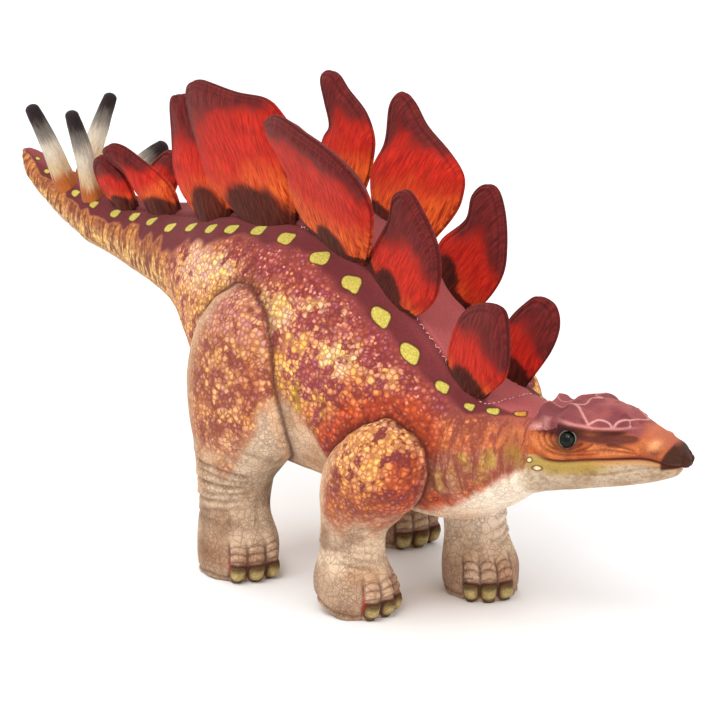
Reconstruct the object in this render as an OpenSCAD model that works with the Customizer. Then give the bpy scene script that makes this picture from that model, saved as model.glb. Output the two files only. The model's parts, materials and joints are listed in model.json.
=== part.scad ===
// Stuffed dinosaur with two rows of back plates and four tail spikes.
// Units mm. +X to the head, +Y to the animal's left, +Z up, soles on z = 0.

/* [Fabric] */
// thickness of the short-pile cover fabric
fabric_t = 1.6; // [1.0:0.1:2.5]
// space between cover and filling
fill_gap = 0.8; // [0.5:0.1:1.2]
// space between neighbouring panels along a seam, in degrees round the body
seam_gap = 0.6; // [0.3:0.1:1.5]

/* [Trunk] */
// widest part of the belly
body_w = 92; // [80:1:104]
// height of the back line, as a share of its usual height
back_h = 1.0; // [0.94:0.01:1.06]
// sideways distance of the plate seams, as a share of the usual distance
seam_share = 1.0; // [0.85:0.01:1.1]

/* [Joints] */
// running space between two moving bodies
joint_gap = 1.9; // [1.0:0.1:2.5]
// half of the open band round the neck joint
neck_band = 2.9; // [2.4:0.1:5]
// half of the open band round the tail base joint
tail_band = 3.1; // [2.6:0.1:5]
// half of the open band round the tail tip joint
tip_band = 2.4; // [2.0:0.1:4]

/* [Legs] */
// thickness of a sole disc
sole_t = 1.6; // [1.2:0.1:3]
// width of the legs, as a share of their usual width
leg_share = 1.0; // [0.9:0.01:1.06]

/* [Back plates] */
// thickness of a plate at its middle
plate_t = 9; // [6:0.5:12]
// thickness of a plate at its seam
plate_edge_t = 2.4; // [1.6:0.1:4]
// plate height, as a share of its usual height
plate_share = 1.0; // [0.9:0.01:1.06]

/* [Tail spikes] */
// spike diameter at the base
spike_base_d = 10; // [8:0.5:13]
// spike diameter below the tip
spike_tip_d = 6; // [5:0.5:8]

/* [Eyes] */
// eye diameter
eye_d = 7.5; // [6:0.5:9]
// eye stem diameter
stem_d = 2.4; // [2:0.1:3]
// eye stem length
stem_l = 8; // [6:0.5:10]
// washer diameter
washer_d = 9; // [7:0.5:11]

/* [Hidden] */

x_shift = 0.64;
SIDES = 32;
EX = 2 / 2.1;

// stations along the animal, tail tip to nose:
// x, y, turn, z of the top, z of the widest line, z of the bottom, half width
S = [
  [-191, 0, 0, 134, 132.5, 130, 2.5],
  [-187, 0, 0, 133.5, 130, 126, 5.5],
  [-178, 0, 0, 131, 125, 118.5, 8.5],
  [-160, 0, 0, 127.5, 119, 110, 11],
  [-145, 0, 0, 126, 115, 105, 12.8],
  [-130, 0, 0, 125, 113, 101, 14.5],
  [-108, 0, 0, 125, 111, 97, 17],
  [-85, 0, 0, 128, 109, 91, 21],
  [-61, 0, 0, 132, 106, 81, 27],
  [-48, 0, 0, 135, 100, 70, 31],
  [-22, 0, 0, 140, 93, 50, 41],
  [10, 0, 0, 144, 88, 42, 46],
  [38, 0, 0, 141, 84, 40, 46],
  [60, 0, 0, 132, 78, 38.5, 43],
  [80, 0, 0, 117, 72, 37.5, 39],
  [98, 0, 0, 102, 68, 38.5, 33.5],
  [108, 0, 0, 96.5, 67.5, 42, 29.5],
  [118, 0.8, 0, 92.5, 67.5, 47, 26],
  [127, 2.2, 10, 90, 69, 52.5, 23.5],
  [136, 5, 20, 89.5, 71, 57, 20.5],
  [142, 7, 24, 91, 72, 59, 19],
  [151, 11, 24, 94.5, 73, 61, 19],
  [160, 15, 24, 95, 74, 63, 17],
  [169, 19, 24, 92.5, 75, 65, 14],
  [177, 22.5, 24, 88.5, 75.5, 67, 11.3],
  [183.5, 25.5, 24, 83.5, 76, 68.5, 8.6],
  [187, 27, 24, 80, 76, 70.5, 5.8],
  [188.5, 27.6, 24, 78, 75.5, 73, 3]
];
I_TIP = 5;
I_BASE = 8;
I_NECK = 17;

// legs: z, x, y, half length, half width, all on the right side
FL = [
  [0, 66, -33, 13.5, 12.5], [4, 66, -33, 15.5, 14.5], [12, 67, -33, 16, 14.5],
  [22, 66, -33, 14, 13], [32, 67, -33.5, 13, 12.5], [42, 72, -34, 15.5, 13.5],
  [54, 80, -35, 20, 15], [66, 86, -35, 22, 15.5], [76, 89, -34, 20, 14.5],
  [84, 91, -32.5, 15, 12], [90, 92, -30.5, 8, 8], [92, 92, -30, 4, 5]
];
HL = [
  [0, 2, -38, 15, 13.5], [4, 3, -38, 17.5, 15.5], [14, 3, -38, 18, 15.5],
  [26, 1, -38, 14.5, 14], [40, 1, -38, 14.5, 14.5], [54, 2, -38, 17.5, 16.5],
  [70, 4, -38, 22.5, 18], [86, 6, -37, 25, 18.5], [100, 8, -35.5, 23, 17],
  [109, 9, -34, 17, 13], [115, 10, -32, 9, 8], [117, 10, -31.5, 4.5, 5]
];
SHOULDER = [90, 68];
HIP = [7, 84];
F_IN = [26, 17, 24, 38];
H_IN = [26, 21, 36, 50];
LEG_SIDES = 20;
// forward and outward offset of each foot against the right-hand tables
FRO = [0, 0];
FLO = [14, 6];
HRO = [0, 0];
HLO = [8, -2];

// plates: base line back and front x, base y, tip x, y, z, widest half width, half width near the tip,
// how late the leaf leans back, drop of the front corner of its top
P = [
  [103, 116, 10.5, 127, 16, 126, 14, 5.5, 1.2, 0],
  [60, 77, 13.5, 84, 21, 164, 19, 6, 1.2, 0],
  [28, 53, 16.5, 23.5, 38, 183, 21, 10, 2.4, 8],
  [-21, 11, 17, -26.5, 29, 190, 26, 19, 3, 12],
  [-51, -29, 15.5, -58.5, 17, 180, 11.5, 7, 1.5, 0],
  [-91, -71, 10, -104, 18, 151, 10, 5.5, 1.2, 0],
  [-117, -102, 8, -116, 15, 146, 9.5, 5, 1.2, 0]
];
// left plates against the right ones: tip forward, outward and up, and the share of the width
Q = [
  [-4, -1, -2, 0.9], [5, 0, -2, 0.95], [-2, -4, 0, 1], [2.5, 4, -4, 0.55], [-7, 3, -12, 1],
  [0, 2, -3, 1], [3, 0, -4, 1]
];
// leaf outline: height share, then shares of base, widest and tip half width
LEAF = [
  [0, 1, 0, 0], [0.1, 0.5, 0.5, 0], [0.24, 0.08, 0.92, 0], [0.38, 0, 0.98, 0.05],
  [0.52, 0, 0.78, 0.22], [0.66, 0, 0.42, 0.6], [0.78, 0, 0.12, 0.95], [0.88, 0, 0, 0.98],
  [0.95, 0, 0, 0.78], [1, 0, 0, 0.4]
];

// spikes: base x, y, tip x, y, z
K = [
  [-134, 7, -131, 19, 160],
  [-134, 7, -124, 23, 146],
  [-155, 6.5, -158, 20, 160],
  [-157, 6.5, -157, 21, 161]
];

function mix(a, b, t) = a + (b - a) * t;
function sgn(a) = a < 0 ? -1 : 1;
function bound(a, lo, hi) = min(max(a, lo), hi);
function smooth(t) = let (c = bound(t, 0, 1)) c * c * (3 - 2 * c);
function tan_at(T, i) =
  i <= 0 ? T[1] - T[0] :
  i >= len(T) - 1 ? T[i] - T[i - 1] : (T[i + 1] - T[i - 1]) / 2;
// smooth curve through the rows of a table, u in row numbers
function row(T, u) =
  let (i = bound(floor(u), 0, len(T) - 2))
  let (t = u - i)
  let (a = 2 * t * t * t - 3 * t * t + 1)
  let (b = t * t * t - 2 * t * t + t)
  let (c = 3 * t * t - 2 * t * t * t)
  let (d = t * t * t - t * t)
  T[i] * a + tan_at(T, i) * b + T[i + 1] * c + tan_at(T, i + 1) * d;

// place on the side line of a leg, and how far a point is from it
function leg_side(p, top, foot) =
  let (d = foot - top)
  let (t = bound(((p - top) * d) / (d * d), 0, 1))
  norm(p - top - d * t);
// inner face of a leg, turned round the hip or shoulder line
function inner_y(r, q) = r <= q[2] ? q[0] : r >= q[3] ? q[1] : mix(q[0], q[1], (r - q[2]) / (q[3] - q[2]));
// a pocket keeps the trunk inside the inner face of a leg
function pocket(x, z, y, pivot, foot, q, reach, inset) =
  let (d = leg_side([x, z], pivot, foot))
  let (r = norm([x, z] - pivot))
  let (lim = inner_y(r, q) - 0.3 - inset)
  abs(y) <= lim ? y : sgn(y) * mix(lim, abs(y), smooth((d - reach - (inset > fabric_t ? 5 : 0)) / 15));

function width_at(u, s) = s[6] * mix(1, body_w / 92, smooth((6 - abs(u - 12)) / 3));
// v = 0 is the left side, 90 the back, 180 the right side, 270 the belly
function skin_raw(u, v, inset) =
  let (s = row(S, u))
  let (w = width_at(u, s) - inset)
  let (c = cos(v), k = sin(v))
  let (h = k > 0 ? (s[3] - s[4]) * mix(1, back_h, smooth((6 - abs(u - 12)) / 3)) : s[4] - s[5])
  let (across = w * sgn(c) * pow(abs(c), EX))
  let (z = s[4] + (h - inset) * sgn(k) * pow(abs(k), EX))
  [s[0] - across * sin(s[2]), s[1] + across * cos(s[2]), z];
function skin(u, v, inset) =
  let (p = skin_raw(u, v, inset))
  (u <= I_BASE || u >= I_NECK) ? p :
  let (s = p[1] > 0 ? 1 : 0)
  let (hf = [HL[0][1] + s * HLO[0], 0], ff = [FL[0][1] + s * FLO[0], 0])
  let (y1 = pocket(p[0], p[2], p[1], HIP, hf, H_IN, 34, inset))
  let (y2 = pocket(p[0], p[2], y1, SHOULDER, ff, F_IN, 27, inset))
  [p[0], y2, p[2]];
// station number for a position along x
function u_at(x, lo = 0, hi = 27, n = 30) =
  n == 0 ? (lo + hi) / 2 :
  let (m = (lo + hi) / 2)
  row(S, m)[0] < x ? u_at(x, m, hi, n - 1) : u_at(x, lo, m, n - 1);
// height of the back at x and y
function back_z(x, y) =
  let (u = u_at(x), s = row(S, u), w = width_at(u, s))
  skin_raw(u, acos(pow(bound(abs(y) / w, 0, 0.99), 1 / EX)), 0)[2];
// sideways place of the plate seam at a station
function seam_y(u) = seam_share * (
  u < I_TIP ? 0.5 * row(S, u)[6] :
  u < I_BASE ? mix(7.5, 13, (u - I_TIP) / 3) :
  u < 11 ? mix(13, 17.2, smooth((u - I_BASE) / 3)) : mix(17.2, 9.5, smooth((u - 11) / 6.5)));
function seam_v(u) = acos(pow(bound(seam_y(u) / row(S, u)[6], 0, 0.75), 1 / EX));
BELLY_V = 52;
// start and end angle of a panel: 0 left side, 1 back, 2 right side, 3 belly
function v_lo(kind, u) =
  kind == 0 ? -BELLY_V : kind == 1 ? seam_v(u) : kind == 2 ? 180 - seam_v(u) : 180 + BELLY_V;
function v_hi(kind, u) =
  kind == 0 ? seam_v(u) : kind == 1 ? 180 - seam_v(u) : kind == 2 ? 180 + BELLY_V : 360 - BELLY_V;
function moved(p) = [p[0] + x_shift, p[1], p[2]];

function turned(F, yes) = yes ? [for (f = F) [f[0], f[2], f[1]]] : F;
function grid_faces(n, m, o) = [
  for (i = [0:n - 2]) for (j = [0:m - 2])
    let (a = o + i * m + j, b = a + 1, c = a + m + 1, d = a + m)
    each [[a, c, b], [a, d, c]]
];
// a fabric patch between an outer and an inner point grid of n rows by m points
module patch(outer, inner, flip = false) {
  n = len(outer);
  m = len(outer[0]);
  k = n * m;
  lo = [for (j = [0:m - 2]) let (a = j, b = j + 1) each [[a, k + b, k + a], [a, b, k + b]]];
  hi = [for (j = [0:m - 2]) let (a = (n - 1) * m + j, b = a + 1) each [[a, k + a, k + b], [a, k + b, b]]];
  left = [for (i = [0:n - 2]) let (a = i * m, b = a + m) each [[a, k + b, b], [a, k + a, k + b]]];
  right = [for (i = [0:n - 2]) let (a = i * m + m - 1, b = a + m) each [[a, b, k + b], [a, k + b, k + a]]];
  faces = concat(grid_faces(n, m, 0), turned(grid_faces(n, m, k), true), lo, hi, left, right);
  polyhedron(concat([for (r = outer) each r], [for (r = inner) each r]), turned(faces, flip));
}
// one panel of the long body
module body_panel(us, kind, m) {
  patch(
    [for (u = us) [for (j = [0:m])
      moved(skin(u, mix(v_lo(kind, u) + seam_gap, v_hi(kind, u) - seam_gap, j / m), 0))]],
    [for (u = us) [for (j = [0:m])
      moved(skin(u, mix(v_lo(kind, u) + seam_gap, v_hi(kind, u) - seam_gap, j / m), fabric_t))]]
  );
}
// two-panel cover of the tail: upper from v0 to v1
module tail_panel(us, v0, v1, m) {
  patch(
    [for (u = us) [for (j = [0:m]) moved(skin(u, mix(v0 + 1, v1 - 1, j / m), 0))]],
    [for (u = us) [for (j = [0:m]) moved(skin(u, mix(v0 + 1, v1 - 1, j / m), fabric_t))]]
  );
}

// closed filling through the stations us; each end is flat (0), rounded (1) or hollowed (-1)
// about the upright joint line at station j_lo or j_hi
ARC = 12;
HALF = SIDES / 2;
// how far the rounded end of a filling lies inside its cover
BALL_TUCK = 2.2;
IN = fabric_t + fill_gap;
function ring(u, tuck) = [for (j = [0:SIDES - 1]) moved(skin(u, 360 * (j + 0.5) / SIDES, IN + tuck))];
function l_of(k) = (HALF / 2 - 1 - k + SIDES) % SIDES;
function r_of(k) = HALF / 2 + k;
function end_points(rim, jt, kind, dir) = kind == 0 ? [] : [
  for (k = [0:HALF - 1]) for (i = [1:ARC - 1])
    let (a = rim[l_of(k)], b = rim[r_of(k)], c = moved(row(S, jt)), t = i / ARC)
    kind > 0 ? bulge(a, b, c, t, dir) : hollow(a, b, c, t, dir)
];
function bulge(a, b, c, t, dir) =
  let (r = norm([a[0] - b[0], a[1] - b[1]]) / 2)
  [c[0] + dir * r * sin(180 * t), c[1] + r * cos(180 * t), a[2]];
function hollow(a, b, c, t, dir) =
  let (ra = norm([a[0] - c[0], a[1] - c[1]]), rb = norm([b[0] - c[0], b[1] - c[1]]))
  let (fa = atan2(a[1] - c[1], -dir * (a[0] - c[0])), fb = atan2(b[1] - c[1], -dir * (b[0] - c[0])))
  let (f = mix(fa, fb, t), r = mix(ra, rb, t))
  [c[0] - dir * r * cos(f), c[1] + r * sin(f), a[2]];
function end_i(o, p, k, i) = i == 0 ? o + l_of(k) : i == ARC ? o + r_of(k) : p + k * (ARC - 1) + i - 1;
// faces of an end seen from the far side of +X
function end_faces(o, p) = concat(
  [for (k = [0:HALF - 2]) for (i = [0:ARC - 1])
    let (a = end_i(o, p, k, i), b = end_i(o, p, k, i + 1))
    let (c = end_i(o, p, k + 1, i + 1), d = end_i(o, p, k + 1, i))
    each [[a, b, c], [a, c, d]]],
  [for (i = [1:ARC - 1]) [end_i(o, p, 0, 0), end_i(o, p, 0, i + 1), end_i(o, p, 0, i)]],
  [for (i = [1:ARC - 1]) let (k = HALF - 1) [end_i(o, p, k, 0), end_i(o, p, k, i), end_i(o, p, k, i + 1)]]
);
function flat_end(o, m) = [for (j = [1:m - 2]) [o, o + j + 1, o + j]];
module filling(us, lo, hi, j_lo = 0, j_hi = 0) {
  n = len(us);
  rings = [for (i = [0:n - 1]) ring(us[i], (i == 0 && lo > 0) || (i == n - 1 && hi > 0) ? BALL_TUCK : 0)];
  walls = [
    for (i = [0:n - 2]) for (j = [0:SIDES - 1])
      let (a = i * SIDES + j, b = i * SIDES + (j + 1) % SIDES)
      each [[a, b + SIDES, b], [a, a + SIDES, b + SIDES]]
  ];
  p_lo = end_points(rings[0], j_lo, lo, -1);
  p_hi = end_points(rings[n - 1], j_hi, hi, 1);
  o = n * SIDES;
  last = (n - 1) * SIDES;
  f_lo = lo == 0 ? turned(flat_end(0, SIDES), true) : end_faces(0, o);
  f_hi = hi == 0 ? flat_end(last, SIDES) : turned(end_faces(last, o + len(p_lo)), true);
  polyhedron(concat([for (r = rings) each r], p_lo, p_hi), concat(walls, f_lo, f_hi));
}

TORSO_U = concat(
  [u_at(-61 + tail_band), 8.6], [for (u = [9:0.25:13]) u],
  [for (u = [13.4:0.4:16.2]) u], [16.6, u_at(118 - neck_band)]
);
TORSO_F = concat([u_at(-61 + 5.5), 8.8], [for (u = [9.2:0.4:15.8]) u], [16.2, u_at(118 - 5.5)]);
HEAD_U = concat([u_at(118 + neck_band)], [for (u = [17.7:0.5:24.2]) u], [25, 26, 26.6, 27]);
HEAD_F = concat([I_NECK, 17.6, 18.3], [for (u = [19:0.75:24.4]) u], [25.3, 26.2]);
BASE_U = [u_at(-130 + tip_band), 5.6, 6.1, 6.6, 7.1, 7.5, u_at(-61 - tail_band)];
BASE_F = [u_at(-130 + 6), 5.9, 6.4, 7, 7.5, I_BASE];
TIP_U = [0, 0.5, 1, 1.6, 2.3, 3, 3.7, 4.4, u_at(-130 - tip_band)];
TIP_F = [0.9, 1.4, 2, 2.8, 3.6, 4.4, I_TIP];

fabric_side = [0.62, 0.42, 0.28];
fabric_back = [0.50, 0.28, 0.32];
fabric_belly = [0.86, 0.77, 0.66];
fabric_red = [0.78, 0.24, 0.14];
fill_col = [0.95, 0.95, 0.93];
spike_col = [0.66, 0.64, 0.60];

module side_panel_right() color(fabric_side) body_panel(TORSO_U, 2, 11);
module side_panel_left() color(fabric_side) body_panel(TORSO_U, 0, 11);
module back_panel() color(fabric_back) body_panel(TORSO_U, 1, 5);
module belly_panel() color(fabric_belly) body_panel(TORSO_U, 3, 7);
module torso_filling() color(fill_col) filling(TORSO_F, -1, -1, I_BASE, I_NECK);

module head_side_right() color(fabric_side) body_panel(HEAD_U, 2, 8);
module head_side_left() color(fabric_side) body_panel(HEAD_U, 0, 8);
module head_top_panel() color(fabric_back) body_panel(HEAD_U, 1, 5);
module throat_panel() color(fabric_belly) body_panel(HEAD_U, 3, 6);
module head_filling() color(fill_col) filling(HEAD_F, 1, 0, I_NECK, 0);

module tail_base_upper() color(fabric_side) tail_panel(BASE_U, -30, 210, 17);
module tail_base_under() color(fabric_belly) tail_panel(BASE_U, 210, 330, 8);
module tail_base_filling() color(fill_col) filling(BASE_F, -1, 1, I_TIP, I_BASE);
module tail_tip_upper() color(fabric_side) tail_panel(TIP_U, -30, 210, 15);
module tail_tip_under() color(fabric_belly) tail_panel(TIP_U, 210, 330, 7);
module tail_tip_filling() color(fill_col) filling(TIP_F, 0, 1, 0, I_TIP);

// eyes: a domed button with a stem through the side panel, held by a washer
EYE_U = 20.8;
EYE_V = 34;
function eye_spot(left) = skin(EYE_U, left ? EYE_V : 180 - EYE_V, 0);
function eye_dir(left) =
  let (v = left ? EYE_V : 180 - EYE_V)
  let (a = skin(EYE_U + 0.1, v, 0) - skin(EYE_U - 0.1, v, 0))
  let (b = skin(EYE_U, v + 2, 0) - skin(EYE_U, v - 2, 0))
  let (n = cross(b, a))
  n / norm(n);
module on_head(left, depth) {
  n = eye_dir(left);
  translate(moved(eye_spot(left)) - n * depth)
    rotate([0, acos(n[2]), atan2(n[1], n[0])])
      children();
}
module eye() {
  r = eye_d / 2;
  rotate_extrude($fn = 48)
    polygon(concat(
      [[0, -stem_l], [stem_d / 2, -stem_l], [stem_d / 2, 0], [r, 0]],
      [for (a = [0:10:80]) [r * cos(a), 0.4 + 0.72 * r * sin(a)]],
      [[0, 0.4 + 0.72 * r]]
    ));
}
module washer() {
  rotate_extrude($fn = 48)
    translate([stem_d / 2, 0])
      square([(washer_d - stem_d) / 2, 1]);
}
module eye_right() color([0.05, 0.06, 0.04]) on_head(false, -0.15) eye();
module eye_left() color([0.05, 0.06, 0.04]) on_head(true, -0.15) eye();
module eye_washer_right() color([0.9, 0.9, 0.88]) on_head(false, IN + 2) washer();
module eye_washer_left() color([0.9, 0.9, 0.88]) on_head(true, IN + 2) washer();

// legs, drawn on the right side; left legs use side = 1
function leg_skin(T, pivot, q, off, u, a, inset, side) =
  let (s = row(T, u))
  let (g = 1 - smooth(s[0] / 80))
  let (x = s[1] + off[0] * g + (s[3] * leg_share - inset) * cos(a))
  let (y = s[2] - off[1] * g + (s[4] * leg_share - inset) * sin(a))
  let (lim = inner_y(norm([x, s[0]] - pivot), q) + joint_gap + inset)
  [x + x_shift, (side > 0 ? -1 : 1) * min(y, -lim), s[0]];
function leg_grid(T, pivot, q, off, side, a0, a1, inset) =
  let (us = [0.5, 1, 1.7, 2.4, 3.2, 4, 5, 6, 7, 8, 9, 10, 11], m = 8)
  [for (u = us) [for (j = [0:m]) leg_skin(T, pivot, q, off, u, mix(a0 + 1, a1 - 1, j / m), inset, side)]];
module leg_panel(T, pivot, q, off, side, a0, a1) {
  patch(
    leg_grid(T, pivot, q, off, side, a0, a1, 0),
    leg_grid(T, pivot, q, off, side, a0, a1, fabric_t),
    side > 0
  );
}
module leg_stack(T, pivot, q, off, side, us, inset) {
  m = LEG_SIDES;
  n = len(us);
  pts = [for (u = us) for (j = [0:m - 1]) leg_skin(T, pivot, q, off, u, 360 * (j + 0.5) / m, inset, side)];
  walls = [
    for (i = [0:n - 2]) for (j = [0:m - 1])
      let (a = i * m + j, b = i * m + (j + 1) % m)
      each [[a, b + m, b], [a, a + m, b + m]]
  ];
  share = [for (j = [0:m - 1]) 1 / m];
  mids = [for (o = [0, (n - 1) * m]) share * [for (j = [0:m - 1]) pts[o + j]]];
  low = [for (j = [0:m - 1]) [n * m, j, (j + 1) % m]];
  high = [for (j = [0:m - 1]) [n * m + 1, (n - 1) * m + (j + 1) % m, (n - 1) * m + j]];
  faces = concat(walls, low, high);
  polyhedron(concat(pts, mids), turned(faces, side > 0));
}
module leg_sole(T, pivot, q, off, side) {
  m = LEG_SIDES;
  top = [for (j = [0:m - 1]) leg_skin(T, pivot, q, off, 0.35, 360 * (j + 0.5) / m, 0.3, side)];
  low = [for (j = [0:m - 1]) leg_skin(T, pivot, q, off, 0, 360 * (j + 0.5) / m, 0.3, side)];
  pts = concat([for (p = low) [p[0], p[1], 0]], [for (p = top) [p[0], p[1], sole_t]]);
  walls = [for (j = [0:m - 1]) let (a = j, b = (j + 1) % m) each [[a, b + m, b], [a, a + m, b + m]]];
  faces = concat(walls, turned(flat_end(0, m), true), flat_end(m, m));
  polyhedron(pts, turned(faces, side > 0));
}
FILL_U = [0.6, 1, 1.7, 2.6, 3.5, 4.5, 5.5, 6.5, 7.5, 8.5, 9.4, 10.3];
module outer_of(T, pv, q, off, side) color(fabric_side) leg_panel(T, pv, q, off, side, 180, 360);
module inner_of(T, pv, q, off, side) color(fabric_belly) leg_panel(T, pv, q, off, side, 0, 180);
module sole_of(T, pv, q, off, side) color(fabric_belly) leg_sole(T, pv, q, off, side);
module fill_of(T, pv, q, off, side) color(fill_col) leg_stack(T, pv, q, off, side, FILL_U, IN + 0.6);
module front_leg_right_outer() outer_of(FL, SHOULDER, F_IN, FRO, -1);
module front_leg_right_inner() inner_of(FL, SHOULDER, F_IN, FRO, -1);
module front_leg_right_sole() sole_of(FL, SHOULDER, F_IN, FRO, -1);
module front_leg_right_filling() fill_of(FL, SHOULDER, F_IN, FRO, -1);
module front_leg_left_outer() outer_of(FL, SHOULDER, F_IN, FLO, 1);
module front_leg_left_inner() inner_of(FL, SHOULDER, F_IN, FLO, 1);
module front_leg_left_sole() sole_of(FL, SHOULDER, F_IN, FLO, 1);
module front_leg_left_filling() fill_of(FL, SHOULDER, F_IN, FLO, 1);
module hind_leg_right_outer() outer_of(HL, HIP, H_IN, HRO, -1);
module hind_leg_right_inner() inner_of(HL, HIP, H_IN, HRO, -1);
module hind_leg_right_sole() sole_of(HL, HIP, H_IN, HRO, -1);
module hind_leg_right_filling() fill_of(HL, HIP, H_IN, HRO, -1);
module hind_leg_left_outer() outer_of(HL, HIP, H_IN, HLO, 1);
module hind_leg_left_inner() inner_of(HL, HIP, H_IN, HLO, 1);
module hind_leg_left_sole() sole_of(HL, HIP, H_IN, HLO, 1);
module hind_leg_left_filling() fill_of(HL, HIP, H_IN, HLO, 1);

// back plates: a leaf-shaped cushion standing on its base line
LIFT = 1.0;
function base_pt(p, t) = let (x = mix(p[0], p[1], t)) [x, -p[2], back_z(x, p[2])];
function base_rise(p) = max([for (t = [0:0.1:1]) base_pt(p, t)[2] - mix(base_pt(p, 0), base_pt(p, 1), t)[2]]);
function base_a(p) = base_pt(p, 0) + [0, 0, base_rise(p) + LIFT];
function base_b(p) = base_pt(p, 1) + [0, 0, base_rise(p) + LIFT];
function leaf_pt(p, t, s, side, q) =
  let (a = base_a(p), b = base_b(p), e1 = (b - a) / norm(b - a), mid = (a + b) / 2)
  let (tip = [p[3] + q[0], -p[4] - q[1], p[5] + q[2]] - mid)
  let (n = cross(e1, tip), nn = n / norm(n), e2 = cross(nn, e1))
  let (f = t * (len(LEAF) - 1), L = row(LEAF, f))
  let (h = (tip * e2) * plate_share * L[0])
  let (hw = L[1] * norm(b - a) / 2 + (L[2] * p[6] + L[3] * p[7]) * q[3])
  let (lean = (tip * e1) * pow(L[0], p[8]))
  let (drop = base_pt(p, (s + 1) / 2)[2] + LIFT - mix(a, b, (s + 1) / 2)[2])
  let (mid_t = (plate_t - plate_edge_t) / 2 * sin(180 * pow(bound(t, 0, 1), 0.8)))
  let (puff = plate_edge_t / 2 + mid_t * (1 - s * s))
  let (low = p[9] * (s + 1) / 2 * smooth(t * 1.4 - 0.4) * q[3])
  let (c = mid + e1 * lean + e1 * hw * s + e2 * (h - low) + [0, 0, drop * (t < 0.05 ? 1 : 0)])
  [c + nn * puff, c - nn * puff];
module plate(i, side) {
  p = P[i];
  q = side > 0 ? Q[i] : [0, 0, 0, 1];
  n = 9;
  m = 5;
  rows = [for (k = [0:n]) [for (j = [0:m]) leaf_pt(p, k / n, -1 + 2 * j / m, side, q)]];
  pts = [for (r = rows) each concat([for (j = [0:m]) r[j][0]], [for (j = [m:-1:0]) r[j][1]])];
  w = 2 * m + 2;
  walls = [
    for (i = [0:n - 1]) for (j = [0:w - 1])
      let (a = i * w + j, b = i * w + (j + 1) % w)
      each [[a, b + w, b], [a, a + w, b + w]]
  ];
  lid = [for (j = [0:m - 1]) each [[j, j + 1, w - 2 - j], [j, w - 2 - j, w - 1 - j]]];
  top = [for (f = lid) [f[0] + n * w, f[2] + n * w, f[1] + n * w]];
  placed = [for (c = pts) [c[0] + x_shift, side > 0 ? -c[1] : c[1], c[2]]];
  polyhedron(placed, turned(concat(walls, lid, top), side > 0));
}
module plate_1_right() color(fabric_red) plate(0, -1);
module plate_2_right() color(fabric_red) plate(1, -1);
module plate_3_right() color(fabric_red) plate(2, -1);
module plate_4_right() color(fabric_red) plate(3, -1);
module plate_5_right() color(fabric_red) plate(4, -1);
module plate_6_right() color(fabric_red) plate(5, -1);
module plate_7_right() color(fabric_red) plate(6, -1);
module plate_1_left() color(fabric_red) plate(0, 1);
module plate_2_left() color(fabric_red) plate(1, 1);
module plate_3_left() color(fabric_red) plate(2, 1);
module plate_4_left() color(fabric_red) plate(3, 1);
module plate_5_left() color(fabric_red) plate(4, 1);
module plate_6_left() color(fabric_red) plate(5, 1);
module plate_7_left() color(fabric_red) plate(6, 1);

// tail spikes: stuffed tubes with a rounded tip and a shallow cone underneath
function spike_base(i, side) = [K[i][0] + x_shift, side * K[i][1], back_z(K[i][0], K[i][1]) + LIFT];
function spike_tip(i, side) = [K[i][2] + x_shift, side * K[i][3], K[i][4]];
module spike(i, side) {
  a = spike_base(i, side);
  d = spike_tip(i, side) - a;
  l = norm(d);
  r0 = spike_base_d / 2;
  r1 = spike_tip_d / 2;
  translate(a)
    rotate([0, acos(d[2] / l), atan2(d[1], d[0])])
      rotate_extrude($fn = 48)
        polygon(concat(
          [[0, 0], [r0 - 0.6, r0 * 0.36], [r0, r0 * 0.36 + 1.2], [mix(r0, r1, 0.55), l * 0.45]],
          [for (f = [0:15:75]) [r1 * cos(f), l - r1 + r1 * sin(f)]],
          [[0, l]]
        ));
}
module spike_front_right() color(spike_col) spike(0, -1);
module spike_front_left() color(spike_col) spike(1, 1);
module spike_rear_right() color(spike_col) spike(2, -1);
module spike_rear_left() color(spike_col) spike(3, 1);

side_panel_right();
side_panel_left();
back_panel();
belly_panel();
torso_filling();
head_side_right();
head_side_left();
head_top_panel();
throat_panel();
head_filling();
eye_right();
eye_left();
eye_washer_right();
eye_washer_left();
tail_base_upper();
tail_base_under();
tail_base_filling();
tail_tip_upper();
tail_tip_under();
tail_tip_filling();
front_leg_right_outer();
front_leg_right_inner();
front_leg_right_sole();
front_leg_right_filling();
front_leg_left_outer();
front_leg_left_inner();
front_leg_left_sole();
front_leg_left_filling();
hind_leg_right_outer();
hind_leg_right_inner();
hind_leg_right_sole();
hind_leg_right_filling();
hind_leg_left_outer();
hind_leg_left_inner();
hind_leg_left_sole();
hind_leg_left_filling();
plate_1_right();
plate_2_right();
plate_3_right();
plate_4_right();
plate_5_right();
plate_6_right();
plate_7_right();
plate_1_left();
plate_2_left();
plate_3_left();
plate_4_left();
plate_5_left();
plate_6_left();
plate_7_left();
spike_front_right();
spike_front_left();
spike_rear_right();
spike_rear_left();
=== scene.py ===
"""Looks of the stuffed dinosaur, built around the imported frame. Lengths in this script are millimetres."""

import itertools
import json
import math

import bmesh
import bpy
import numpy as np
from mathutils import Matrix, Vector
from mathutils.bvhtree import BVHTree


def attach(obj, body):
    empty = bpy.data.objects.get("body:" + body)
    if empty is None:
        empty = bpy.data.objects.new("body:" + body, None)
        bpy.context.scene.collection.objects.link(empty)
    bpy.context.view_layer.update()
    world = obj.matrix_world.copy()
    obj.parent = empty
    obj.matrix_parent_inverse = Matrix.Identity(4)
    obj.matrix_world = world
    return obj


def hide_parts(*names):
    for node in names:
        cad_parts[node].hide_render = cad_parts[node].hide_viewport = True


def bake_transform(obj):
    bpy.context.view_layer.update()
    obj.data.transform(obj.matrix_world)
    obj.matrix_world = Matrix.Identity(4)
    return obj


MM = 0.001
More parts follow.
